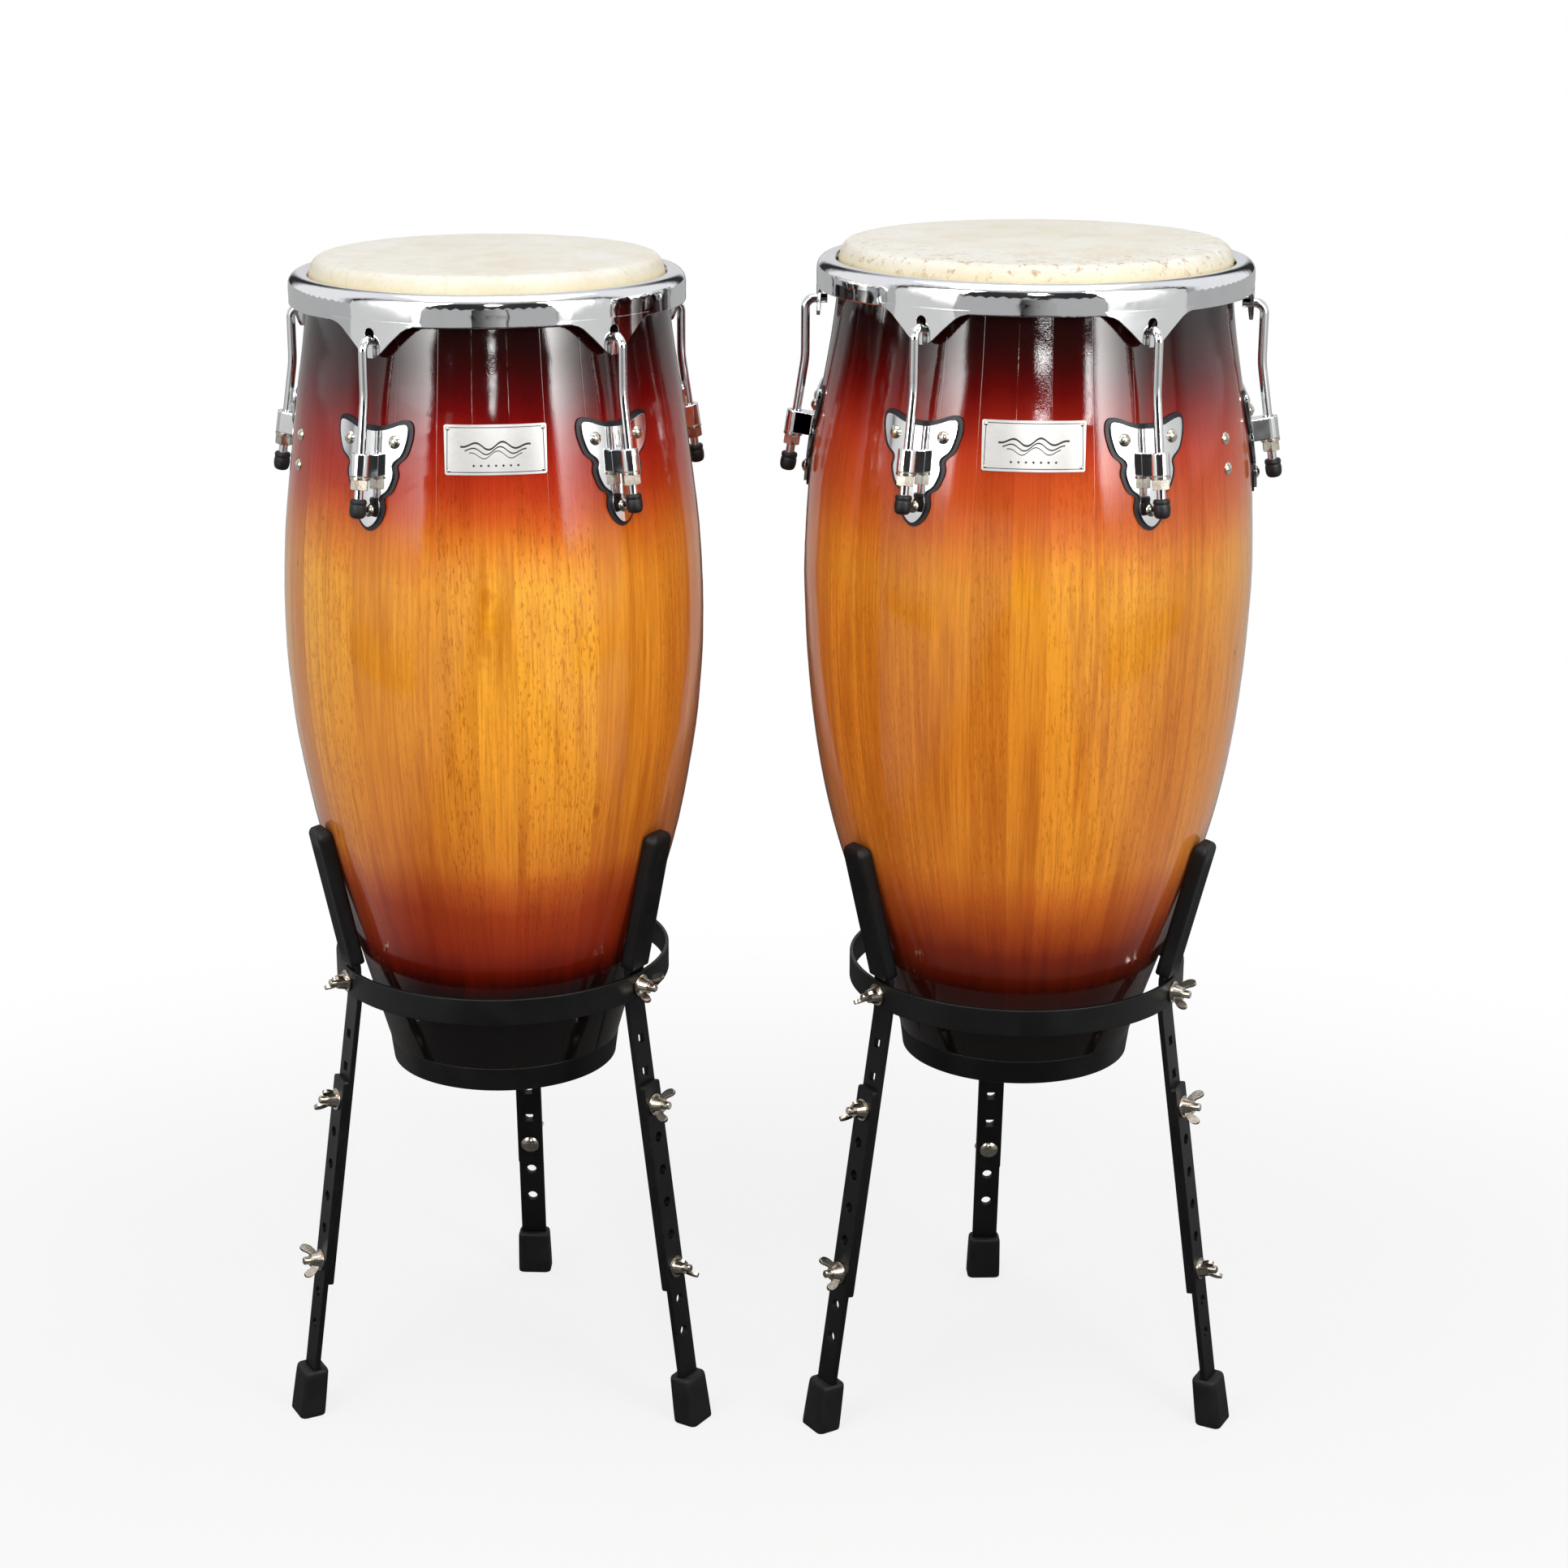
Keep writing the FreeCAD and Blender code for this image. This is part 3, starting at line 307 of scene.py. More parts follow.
def knot_mask(t, knot, azimuth, z, place, belly):
    """A dark core with fading rings round it, taller than wide."""
    knot_azimuth, height, radius, strength = knot
    radius *= MM
    across = (azimuth - math.radians(knot_azimuth)) * belly
    along = (z - height * MM) * 0.62
    distance = t.length_of(across, along)
    ragged = t.noise(place, scale=140.0, rough=0.6) - 0.5
    distance = distance + ragged * (radius * 0.9)
    core = distance.remap(radius * 0.25, radius, to=(1.0, 0.0), smooth=True)
    rings = t.math("SINE", distance * (5.5 / radius)).remap(0.3, 1.0)
    rings = rings * distance.remap(radius, radius * 3.4, to=(0.6, 0.0))
    return t.math("MAXIMUM", core, rings * 0.6) * strength


def wood(size, burst, staves, knots, seed, belly, pale_staves, pore_strength):
    """Lacquered staves with a burst by height; belly is the radius (m) that sets grain width."""
    t = material_graph(size + "_wood")
    azimuth, place, (_, _, z) = t.polar(drums[size].centre)

    # Stave number, with uneven widths, and random values for each stave
    turn = azimuth * (staves / (2 * math.pi)) + seed * 3.17
    wobble = t.noise(t.combine(turn * 0.37, seed, 0.0), scale=1.0, detail=1.0)
    turn = turn + (wobble - 0.5) * 0.9
    stave = t.math("FLOOR", turn)
    across_stave = t.math("FRACT", turn)
    white = t.node("ShaderNodeTexWhiteNoise", noise_dimensions="2D")
    t.put(white.inputs["Vector"], t.combine(stave, seed, 0.0))
    random_tone = t.wire(white, "Value")
    _, random_a, random_b = t.separate(t.wire(white, "Color"))

    # Grain: arc length sideways, height stretched, and each stave its own slice of noise
    stave_slice = random_tone * 37.0
    lean = (random_a - 0.5) * 0.05
    arc = azimuth * belly + z * lean

    def grain(across, stretch, **settings):
        return t.noise(t.combine(across, stave_slice, z * stretch), **settings)

    wander = grain(arc, 0.055, scale=30.0)
    broad = grain(arc + wander * 0.006, 0.085, scale=62.0, detail=3.0, rough=0.6)
    fine = grain(arc + wander * 0.002, 0.022, scale=620.0, detail=3.0, rough=0.65)
    pores = grain(arc, 0.17, scale=820.0, rough=0.55).remap(0.575, 0.635)
    pores = pores * random_a.remap(0.20, 0.70, to=(0.22, 1.0))

    # Arched figure, stronger on some staves
    arches = t.add("ShaderNodeTexWave", {
        "Vector": t.combine(arc * 1.0, stave_slice, z * 0.045), "Scale": 26.0,
        "Distortion": 9.0, "Detail": 2.0, "Detail Scale": 0.9}, output="Fac")
    figure = arches.remap(0.0, 0.35, to=(1.0, 0.0)) * random_b.remap(0.45, 0.75, to=(0.15, 1.0))

    # The burst's edges follow the grain a little
    z_start, z_end = burst[0][0], burst[-1][0]
    cloud = (t.noise(place, scale=11.0) - 0.5) * 0.030
    height = z + (broad - 0.5) * 0.016 + cloud
    colour = t.ramp(height.remap(z_start * MM, z_end * MM),
                    [((stop - z_start) / (z_end - z_start), srgb(*c)) for stop, c in burst])
    # Where the lacquer is clear enough for the wood to show
    clear = height.remap(0.37, 0.47, to=(0.25, 1.0)) * height.remap(0.80, 0.69, to=(0.15, 1.0))
    dark = t.tinted(colour, (0.60, 0.42, 0.36))
    light = t.tinted(colour, (1.16, 1.34, 1.30))
    deep = t.tinted(colour, (0.46, 0.26, 0.16))

    # Tone of each stave, then a group of paler staves
    tone = random_tone * 0.62 + broad * 0.38
    look = t.mix(tone.remap(0.18, 0.52, to=(0.60, 0.0)) * clear, colour, dark)
    look = t.mix(tone.remap(0.50, 0.85, to=(0.0, 0.85)) * clear, look, light)
    first, last = pale_staves
    pale = stave.remap(first, first + 0.5) * stave.remap(last, last + 0.5, to=(1.0, 0.0))
    pale = pale * clear * random_b.remap(0.0, 0.6, to=(0.55, 1.0))
    look = t.mix(pale, look, t.mix(0.55, look, t.tinted(colour, (1.20, 1.42, 1.45))))

    # Grain lines, pores and figure
    look = t.mix(fine.remap(0.54, 0.34, to=(0.0, 0.46)) * clear, look, dark)
    look = t.mix(broad.remap(0.47, 0.30, to=(0.0, 0.58)) * clear, look, dark)
    look = t.mix(fine.remap(0.54, 0.70, to=(0.0, 0.35)) * clear, look, light)
    look = t.mix(pores * pore_strength * clear, look, deep)
    look = t.mix(figure * 0.34 * clear, look, dark)

    for knot in knots:
        mask = knot_mask(t, knot, azimuth, z, place, belly)
        look = t.mix(mask, look, t.tinted(colour, (0.42, 0.20, 0.12)))

    # Hairline joints between staves
    to_joint = t.math("MINIMUM", across_stave, 1.0 - across_stave)
    joint = to_joint.remap(0.0, 0.011, to=(1.0, 0.0))
    look = t.mix(joint * 0.35 * clear, look, dark)

    # Raw wood where the surface faces the drum's axis
    normal = t.add("ShaderNodeNewGeometry", output="Normal")
    x, y, _ = t.separate(place)
    outward = t.vector_math("NORMALIZE", t.combine(x, y, 0.0))
    facing_out = t.vector_math("DOT_PRODUCT", normal, outward)
    inside = facing_out.remap(-0.05, -0.25)
    raw = t.mix(fine.remap(0.3, 0.7), srgb(168, 118, 72), srgb(206, 162, 112))
    raw = t.mix(joint * 0.8, raw, srgb(110, 70, 40))
    look = t.mix(inside, look, raw)

    # Painted reflection: a pale sheen, like the white room seen in the clear coat, mixed into the
    # colour at grazing angles
    grazing = t.add("ShaderNodeLayerWeight", {"Blend": 0.5}, output="Facing")
    look = t.mix(grazing ** 5.0 * (clear * 0.42), look, srgb(232, 204, 178))

    # Relief of the wood, and of the lacquer over it
    peel = t.noise(place, scale=1150.0, detail=1.0)
    wave = t.noise(place, scale=16.0, detail=1.0)
    smudge = t.noise(place, scale=38.0, detail=3.0, rough=0.6).remap(0.45, 0.75, to=(0.0, 0.04))
    wood_normal = t.bump(fine * 0.25 + joint * -0.5, strength=0.25, distance=0.0004)
    coat_normal = t.bump(peel * 0.026 + wave * 0.10 + joint * -0.04,
                         strength=0.5, distance=0.0015)
    return t.principled(
        Base_Color=look, Roughness=inside.remap(0.0, 1.0, to=(0.45, 0.7)), Normal=wood_normal,
        IOR=1.40, Specular_IOR_Level=inside * 0.3, Coat_Weight=1.0 - inside,
        Coat_Roughness=0.05 + smudge, Coat_IOR=1.50, Coat_Normal=coat_normal)


def chrome(name, tint, rough, waviness):
    """Polished plating with smears and fine upright scratches."""
    t = material_graph(name)
    place = t.coords()
    x, y, z = t.separate(place)
    scratch = t.noise(t.combine(x * 1.0, y * 1.0, z * 9.0), scale=700.0, rough=0.7)
    smear = t.noise(place, scale=42.0, detail=4.0, rough=0.6)
    roughness = rough + smear.remap(0.45, 0.8, to=(0.0, 0.09)) * 1.0
    roughness = roughness + scratch.remap(0.62, 0.8, to=(0.0, 0.05))
    wave = t.noise(place, scale=30.0)
    fine = t.noise(place, scale=900.0, detail=1.0)
    normal = t.bump(wave * waviness + fine * 0.004, strength=0.35, distance=0.002,
                    normal=t.bevel(0.0005))
    smeared = tuple(c * 0.84 for c in tint)
    colour = t.mix(smear.remap(0.5, 0.85, to=(0.0, 0.35)), tint, smeared)
    return t.principled(Base_Color=colour, Metallic=1.0, Roughness=roughness, Normal=normal)


def nickel():
    """Duller plating with dark spots."""
    t = material_graph("nickel")
    place = t.coords()
    smear = t.noise(place, scale=160.0, detail=4.0, rough=0.65)
    fine = t.noise(place, scale=1500.0, rough=0.6)
    spots = t.noise(place, scale=620.0).remap(0.66, 0.78)
    colour = t.mix(smear.remap(0.35, 0.7), srgb(226, 220, 208), srgb(176, 164, 146))
    colour = t.mix(spots * 0.5, colour, srgb(92, 78, 62))
    normal = t.bump(smear * 0.15 + fine * 0.03, strength=0.3, distance=0.0008,
                    normal=t.bevel(0.0005))
    return t.principled(Base_Color=colour, Metallic=1.0, Normal=normal,
                        Roughness=smear.remap(0.3, 0.75, to=(0.12, 0.30)))


def paint(name, base, rough, grit_strength):
    """Black paint with dust in it, worn on the edges."""
    t = material_graph(name)
    place = t.coords()
    grit = t.noise(place, scale=1300.0, rough=0.6)
    orange_peel = t.noise(place, scale=320.0)
    smear = t.noise(place, scale=24.0, detail=4.0, rough=0.62)
    dust = t.noise(place, scale=2600.0, detail=1.0).remap(0.68, 0.75) * smear.remap(0.45, 0.7)
    faded = tuple(min(1.0, c * 1.7 + 0.002) for c in base)
    colour = t.mix(smear.remap(0.3, 0.75), base, faded)
    colour = t.mix(dust * 0.25, colour, srgb(120, 118, 112))
    # The bevelled normal leaves the true one only near edges
    bevelled = t.bevel(0.0009)
    true_normal = t.add("ShaderNodeNewGeometry", output="Normal")
    edge = t.vector_math("DISTANCE", bevelled, true_normal).remap(0.18, 0.55)
    worn = edge * t.noise(place, scale=210.0, detail=4.0, rough=0.7).remap(0.50, 0.66)
    colour = t.mix(worn * 0.30, colour, srgb(84, 86, 84))
    relief = grit * (0.05 * grit_strength) + orange_peel * (0.10 * grit_strength)
    return t.principled(
        Base_Color=colour, Roughness=smear.remap(0.3, 0.75, to=(rough, rough + 0.16)),
        Normal=t.bump(relief, strength=0.5, distance=0.0008, normal=bevelled),
        Specular_IOR_Level=0.38)


def rubber(name, base, rough, grain):
    t = material_graph(name)
    place = t.coords()
    fine = t.noise(place, scale=1900.0, detail=3.0, rough=0.6)
    middle = t.noise(place, scale=240.0, detail=3.0, rough=0.6)
    dust = t.noise(place, scale=55.0, detail=4.0, rough=0.65).remap(0.42, 0.75)
    colour = t.mix(dust * 0.55, base, tuple(c * 2.1 + 0.004 for c in base))
    relief = fine * (0.06 * grain) + middle * (0.10 * grain)
    return t.principled(
        Base_Color=colour, Roughness=rough + dust * 0.14,
        Normal=t.bump(relief, strength=0.45, distance=0.0010), Specular_IOR_Level=0.42)


def rawhide(size, edge_radius, fleck_strength, seed):
    """Pale skin, flecked towards the front edge and yellower where it turns down."""
    t = material_graph(size + "_rawhide")
    drum = drums[size]
    azimuth, place, (x, y, z) = t.polar(drum.centre)
    radius = t.length_of(x, y)
    place = t.vector_math("ADD", place, (seed, seed * 2, 0.0))
    broad = t.noise(place, scale=11.0, detail=5.0, rough=0.62)
    blotch = t.noise(place, scale=34.0, detail=4.0, rough=0.6)
    hair = t.noise(place, scale=950.0, rough=0.6)
    fibre = t.noise(t.vector_math("MULTIPLY", place, (1.0, 4.0, 1.0)),
                    scale=120.0, detail=4.0, rough=0.65, distortion=0.6)
    colour = t.mix(broad.remap(0.35, 0.70), srgb(251, 248, 240), srgb(243, 235, 217))
    colour = t.mix(blotch.remap(0.50, 0.72) * 0.28, colour, srgb(225, 205, 172))
    colour = t.mix(fibre.remap(0.50, 0.68) * 0.20, colour, srgb(214, 196, 166))

    flecks = t.noise(place, scale=150.0, detail=4.0, rough=0.7).remap(0.55, 0.66)
    near_front = radius - t.math("COSINE", azimuth) * -0.035
    near_front = near_front.remap(edge_radius * 0.55, edge_radius * 1.18)
    flecks = flecks * (near_front * fleck_strength)
    colour = t.mix(flecks * 0.75, colour, srgb(176, 132, 96))

    top = drum.head_top
    turned = z.remap(top - 0.0015, top - 0.012)
    colour = t.mix(turned * 0.55, colour, srgb(228, 208, 150))
    low = z.remap(top - 0.010, top - 0.020)
    colour = t.mix(low * 0.6, colour, srgb(188, 156, 92))
    relief = hair * 0.04 + blotch * 0.25 + fibre * 0.10
    return t.principled(
        Base_Color=colour, Roughness=blotch.remap(0.3, 0.7, to=(0.42, 0.62)),
        Normal=t.bump(relief, strength=0.45, distance=0.0012),
        Subsurface_Weight=0.12, Subsurface_Radius=(0.004, 0.0026, 0.0014),
        Subsurface_Scale=1.0, Specular_IOR_Level=0.14)


def badge_print(t, across, up):
    """Ink mask of a border, three waves and a row of diamonds, in mm from the badge's middle."""
    from_side, from_middle = abs(across), abs(up)

    def below(value, limit):
        return value.remap(limit, limit + 0.12, to=(1.0, 0.0))

    def line(value, middle, half_width):
        return below(abs(value - middle), half_width)

    ink = t.math("MAXIMUM", line(from_side, 33.1, 0.22) * below(from_middle, 15.3),
                 line(from_middle, 15.1, 0.22) * below(from_side, 33.3))
    # Waves, from the top: (height, half width)
    for k, (height, half_width) in enumerate(((2.9, 0.62), (-0.4, 0.42), (-3.3, 0.28))):
        wave = t.math("SINE", across * 0.33 + k * 0.55) * 2.6
        wave = wave * from_side.remap(26.0, 8.0, to=(0.15, 1.0))
        stroke = line(up - wave, height, half_width) * below(from_side, 24.0 - 3.0 * k)
        ink = t.math("MAXIMUM", ink, stroke)
    pitch = 5.0
    diamond_height = -10.6
    cell = t.math("FRACT", across / pitch + 0.5) - 0.5
    diamond = abs(cell) * pitch + abs(up - diamond_height)
    return t.math("MAXIMUM", ink, below(diamond, 0.95) * below(from_side, 17.4))


def badge(size):
    """Brushed plate with a printed pattern."""
    centre = drums[size].centre
    low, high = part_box(size + "_badge")
    middle = (low + high) / 2 - centre
    badge_azimuth = math.atan2(middle.x, -middle.y)
    face_radius = middle.to_2d().length + 0.003
    t = material_graph(size + "_badge_plate")
    azimuth, place, (_, _, z) = t.polar(centre)
    across = (azimuth - badge_azimuth) * (face_radius * 1000)
    up = (z - (low.z + high.z) / 2) * 1000.0
    ink = badge_print(t, across, up)

    brush = t.noise(t.combine(across * 0.02, up, 0.0), scale=9.0, detail=4.0, rough=0.7)
    cloud = t.noise(place, scale=60.0, detail=3.0, rough=0.6).remap(0.5, 0.8)
    colour = t.mix(brush.remap(0.3, 0.7), srgb(250, 249, 246), srgb(226, 224, 220))
    colour = t.mix(cloud * 0.20, colour, srgb(196, 194, 190))
    colour = t.mix(ink, colour, srgb(34, 31, 30))
    normal = t.bump(brush * 0.12 - ink * 0.35, strength=0.4, distance=0.0003,
                    normal=t.bevel(0.0003))
    return t.principled(
        Base_Color=colour, Metallic=0.55 - ink * 0.5, Normal=normal,
        Roughness=brush.remap(0.3, 0.7, to=(0.26, 0.40)) + ink * 0.25)


materials = {
    "chrome": chrome("chrome", tint=(0.86, 0.87, 0.88), rough=0.045, waviness=0.35),
    "rod": chrome("rod_chrome", tint=(0.84, 0.84, 0.85), rough=0.06, waviness=0.10),
    "nickel": nickel(),
    "stand": paint("stand_paint", srgb(5, 6, 6), rough=0.40, grit_strength=1.0),
    "band": paint("band_paint", srgb(6, 7, 7), rough=0.36, grit_strength=0.6),
    "gasket": rubber("gasket_rubber", srgb(12, 12, 20), rough=0.36, grain=0.5),
    "grip": rubber("grip_rubber", srgb(7, 8, 8), rough=0.50, grain=0.8),
    "foot": rubber("foot_rubber", srgb(13, 14, 14), rough=0.60, grain=1.2),
    "cap": rubber("cap_rubber", srgb(14, 15, 16), rough=0.48, grain=0.8),
    "small_wood": wood("small", brighten(SMALL_BURST, 1.05), staves=32, knots=SMALL_KNOTS,
                       seed=1.3, belly=0.150, pale_staves=(2.4, 6.4), pore_strength=0.55),
    "large_wood": wood("large", brighten(LARGE_BURST, 1.02), staves=34, knots=LARGE_KNOTS,
                       seed=4.7, belly=0.158, pale_staves=(12.9, 17.4), pore_strength=0.36),
    "small_skin": rawhide("small", edge_radius=0.127, fleck_strength=0.25, seed=1.0),
    "large_skin": rawhide("large", edge_radius=0.140, fleck_strength=1.0, seed=5.0),
    "small_badge": badge("small"),
    "large_badge": badge("large"),
}


def coat(node, material):
    """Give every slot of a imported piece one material."""
    piece = nodes[node]
    if not piece.material_slots:
        piece.data.materials.append(materials[material])
    for slot in piece.material_slots:
        slot.material = materials[material]


for size, drum in drums.items():
    for part, material in (
            ("shell", size + "_wood"), ("bottom_band", "band"), ("flesh_ring", "nickel"),
            ("rim", "chrome"), ("tension_rods", "rod"), ("side_plates", "chrome"),
            ("plate_gaskets", "gasket"), ("shell_fasteners", "nickel"),
            ("badge", size + "_badge"), ("stand_ring", "stand"),
            ("stand_uprights", "stand"), ("stand_clamps", "nickel")):
        coat("%s_%s" % (size, part), material)
    for i in range(1, len(drum.lugs) + 1):
        coat("%s_tension_nut_%d" % (size, i), "nickel")
    for i in (1, 2, 3):
        coat("%s_lower_leg_%d" % (size, i), "stand")
        coat("%s_leg_clamp_%d" % (size, i), "nickel")


# ---------------------------------------------------------------- mesh helpers
def mesh_object(name, verts, faces):
    mesh = bpy.data.meshes.new(name)
    mesh.from_pydata([tuple(v) for v in verts], [], faces)
    made = bpy.data.objects.new(name, mesh)
    bpy.context.scene.collection.objects.link(made)
    return made


def add_piece(name, verts, faces, material, rides, replaces):
    """A smooth-shaded piece that stands in for a packed one."""
    piece = mesh_object(name, verts, faces)
    piece.data.validate()
    piece.data.update()
    for face in piece.data.polygons:
        face.use_smooth = True
    piece.data.materials.append(materials[material])
    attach(piece, rides)
    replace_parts(piece, replaces)


def around(azimuth, across, out, up):
    """Offset in metres from mm measured at an azimuth: sideways, outwards and up."""
    cos, sin = math.cos(azimuth), math.sin(azimuth)
    return Vector(((out * sin + across * cos) * MM, (across * sin - out * cos) * MM, up * MM))


def smooth_curve(keys, steps):
    """Catmull-Rom curve through the key points, ends kept."""
    points = [np.array(key, float) for key in keys]
    padded = [points[0], *points, points[-1]]
    curve = []
    for before, start, end, after in zip(padded, padded[1:], padded[2:], padded[3:]):
        for j in range(steps):
            t = j / steps
            curve.append(0.5 * (2 * start + (end - before) * t
                                + (2 * before - 5 * start + 4 * end - after) * t * t
                                + (3 * start - before - 3 * end + after) * t ** 3))
    curve.append(points[-1])
    return curve


def strip(a, b, seg):
    """Quads between two closed rows of seg vertices that begin at a and b."""
    return [(a + j, b + j, b + (j + 1) % seg, a + (j + 1) % seg) for j in range(seg)]


def reversed_strip(a, b, seg):
    return [(a + j, a + (j + 1) % seg, b + (j + 1) % seg, b + j) for j in range(seg)]


def closing_fan(pole, row, seg):
    return [(pole, row + (j + 1) % seg, row + j) for j in range(seg)]


def rounded_rect(width, depth, radius, face_steps, rib=0.0):
    """Closed outline of (x, y); the +y face may carry seven grooves of depth rib."""
    corner_steps, side_steps, back_steps, ribs = 5, 5, 11, 7
    half_x, half_y = width / 2, depth / 2
    flat_x, flat_y = half_x - radius, half_y - radius

    def corner(x, y, start):
        angles = [math.radians(start + 90 * k / corner_steps) for k in range(corner_steps + 1)]
        return [(x + radius * math.cos(a), y + radius * math.sin(a)) for a in angles]

    points = corner(flat_x, flat_y, 0)
    for k in range(1, face_steps):
        u = k / face_steps
        groove = rib * (0.5 - 0.5 * math.cos(2 * math.pi * ribs * u))
        points.append((flat_x * (1 - 2 * u), half_y - groove))
    points += corner(-flat_x, flat_y, 90)
    points += [(-half_x, flat_y * (1 - 2 * k / side_steps)) for k in range(1, side_steps)]
    points += corner(-flat_x, -flat_y, 180)
    points += [(-flat_x * (1 - 2 * k / back_steps), -half_y) for k in range(1, back_steps)]
    points += corner(flat_x, -flat_y, 270)
    points += [(half_x, -flat_y * (1 - 2 * k / side_steps)) for k in range(1, side_steps)]
    return points


# ---------------------------------------------------------------- rawhide heads
def head_profile(drum):
    """(radius, z) of the skin in mm: over the top, round the flesh ring, back underneath."""
    top, low = drum.head_top * 1000, drum.head_low * 1000
    radius = drum.head_radius * 1000
    roll_radius, roll_z = radius - 4.85, low + 4.85     # middle of the roll's section
    roll_outer, roll_inner = 4.8, 3.1
    roll_steps, roll_step = 20, 14.9                    # count, degrees
    crest = radius - drum.crest_inset                   # where the flat top ends
    skirt = roll_radius - 3.05                          # the skirt's outer face at the roll
    wall = 1.78

    def roll(section_radius, k):
        angle = math.radians(180 + k * roll_step)
        return (roll_radius + section_radius * math.cos(angle),
                roll_z + section_radius * math.sin(angle))

    outer = [(14, top), (40, top), (70, top), (crest - 12, top - 0.02), (crest - 3, top - 0.12),
             (crest + 1.4, top - 0.55), (crest + 4.3, top - 2.2), (crest + 6.6, top - 5.2),
             (crest + 7.9, top - 9.0), (crest + 8.7, top - 13.2), (skirt - 1.6, roll_z + 6.0),
             (skirt - 0.25, roll_z + 2.2), (skirt, roll_z)]
    inner = [(skirt - wall, roll_z + 1.0), (skirt - 0.25 - wall, roll_z + 2.4),
             (skirt - 1.6 - wall, roll_z + 6.0), (crest + 8.7 - wall, top - 13.4),
             (crest + 7.9 - wall, top - 9.4), (crest + 6.6 - wall, top - 5.9),
             (crest + 4.1 - wall, top - 3.6), (crest + 0.4, top - 2.1),
             (crest - 4, top - wall), (70, top - wall), (40, top - wall), (14, top - wall)]
    profile = smooth_curve(outer, steps=6)
    profile += [roll(roll_inner, k) for k in range(1, roll_steps + 1)]
    profile += [roll(roll_outer, k) for k in range(roll_steps, -1, -1)]
    profile += smooth_curve(inner, steps=4)
    return profile, top, crest, wall


def build_head(size, drum):
    profile, top, crest, wall = head_profile(drum)
    seg = 288
    phase = np.random.default_rng(drum.skin_seed).uniform(0, 2 * math.pi, 6)
    verts = [around(0, 0, 0, top)]
    for radius, z in profile:
        for j in range(seg):
            angle = 2 * math.pi * j / seg
            out, up = radius, z
            # A slow dish on top, small draws where the skin turns down
            if z > top - 2.5:
                up += 0.16 * math.sin(2 * angle + phase[0]) * (radius / 120) ** 2 - 0.10
            if top - 16 < z < top - 1.0 and radius > crest:
                draw = (math.sin(19 * angle + phase[1]) + 0.6 * math.sin(31 * angle + phase[2])
                        + 0.5 * math.sin(47 * angle + phase[3]))
                out += 0.13 * draw * min(1.0, (top - z) / 8)
            verts.append(around(angle, 0, out, up))
    faces = [(0, 1 + j, 1 + (j + 1) % seg) for j in range(seg)]
    last_row = 1 + (len(profile) - 1) * seg
    for row in range(1, last_row, seg):
        faces += strip(row, row + seg, seg)
    faces += closing_fan(len(verts), last_row, seg)
    verts.append(around(0, 0, 0, top - wall))
    add_piece(size + "_rawhide_head", [v + drum.centre for v in verts], faces,
              material=size + "_skin",
              rides=size + "_drum", replaces=size + "_head")


# ---------------------------------------------------------------- ribbed rubber grips
def build_grips(size, drum):
    """Sleeves on the stand's upper bars, which lean outwards going up."""
    width, depth, corner_radius, rib = 23.9, 11.9, 3.2, 0.55
    bar_radius = 120.95                  # the bar's middle, from the drum's axis, at base_z
    base_z = drum.ring_top * 1000 + 2.5
    lean = math.radians(drum.grip_lean)
    start = 2.5 / math.cos(lean)         # along the bar, from base_z to the sleeve
    length = (drum.grip_top - base_z) / math.cos(lean) - start
    tip_length = 6.5
    spine = 5.5                          # half width kept while the tip rounds off
    steps = 40
    heights = [0.0, 0.7] + [length * (1 - (1 - k / steps) ** 1.6) for k in range(1, steps + 1)]
    ribbed = rounded_rect(width, depth, corner_radius, face_steps=56, rib=rib)
    plain = rounded_rect(width, depth, corner_radius, face_steps=56)
    seg = len(plain)

    sleeve = []
    for height in heights:
        left = length - height
        tip_share = max(0.0, min(1.0, left / tip_length))
        tip = max(math.sqrt(max(0.0, 1 - (1 - tip_share) ** 2)), 0.04)
        inset = 0.94 if height < 0.5 else 1.0
        rib_share = max(0.0, min(1.0, (left - 7) / 10)) * max(0.0, min(1.0, (height - 2) / 6))
        for (rib_x, rib_y), (x, y) in zip(ribbed, plain):
            x += (rib_x - x) * rib_share
            y += (rib_y - y) * rib_share
            core = max(-spine, min(spine, x))
            sleeve.append((core + (x - core) * tip * inset,
                           y * (0.30 + 0.70 * tip) * inset, start + height))

    last_row = (len(heights) - 1) * seg
    faces = []
    for row in range(0, last_row, seg):
        faces += strip(row, row + seg, seg)
    faces.append(tuple(range(seg))[::-1])
    faces.append(tuple(range(last_row, last_row + seg)))
    for i, azimuth in enumerate(drum.legs, 1):
        verts = []
        for x, y, along in sleeve:
            out = bar_radius + along * math.sin(lean) + y * math.cos(lean)
            up = base_z + along * math.cos(lean) - y * math.sin(lean)
            verts.append(around(azimuth, x, out, up) + drum.centre)
        add_piece("%s_ribbed_grip_%d" % (size, i), verts, faces,
                  material="grip",
                  rides=size + "_stand", replaces=size + "_stand_grips")


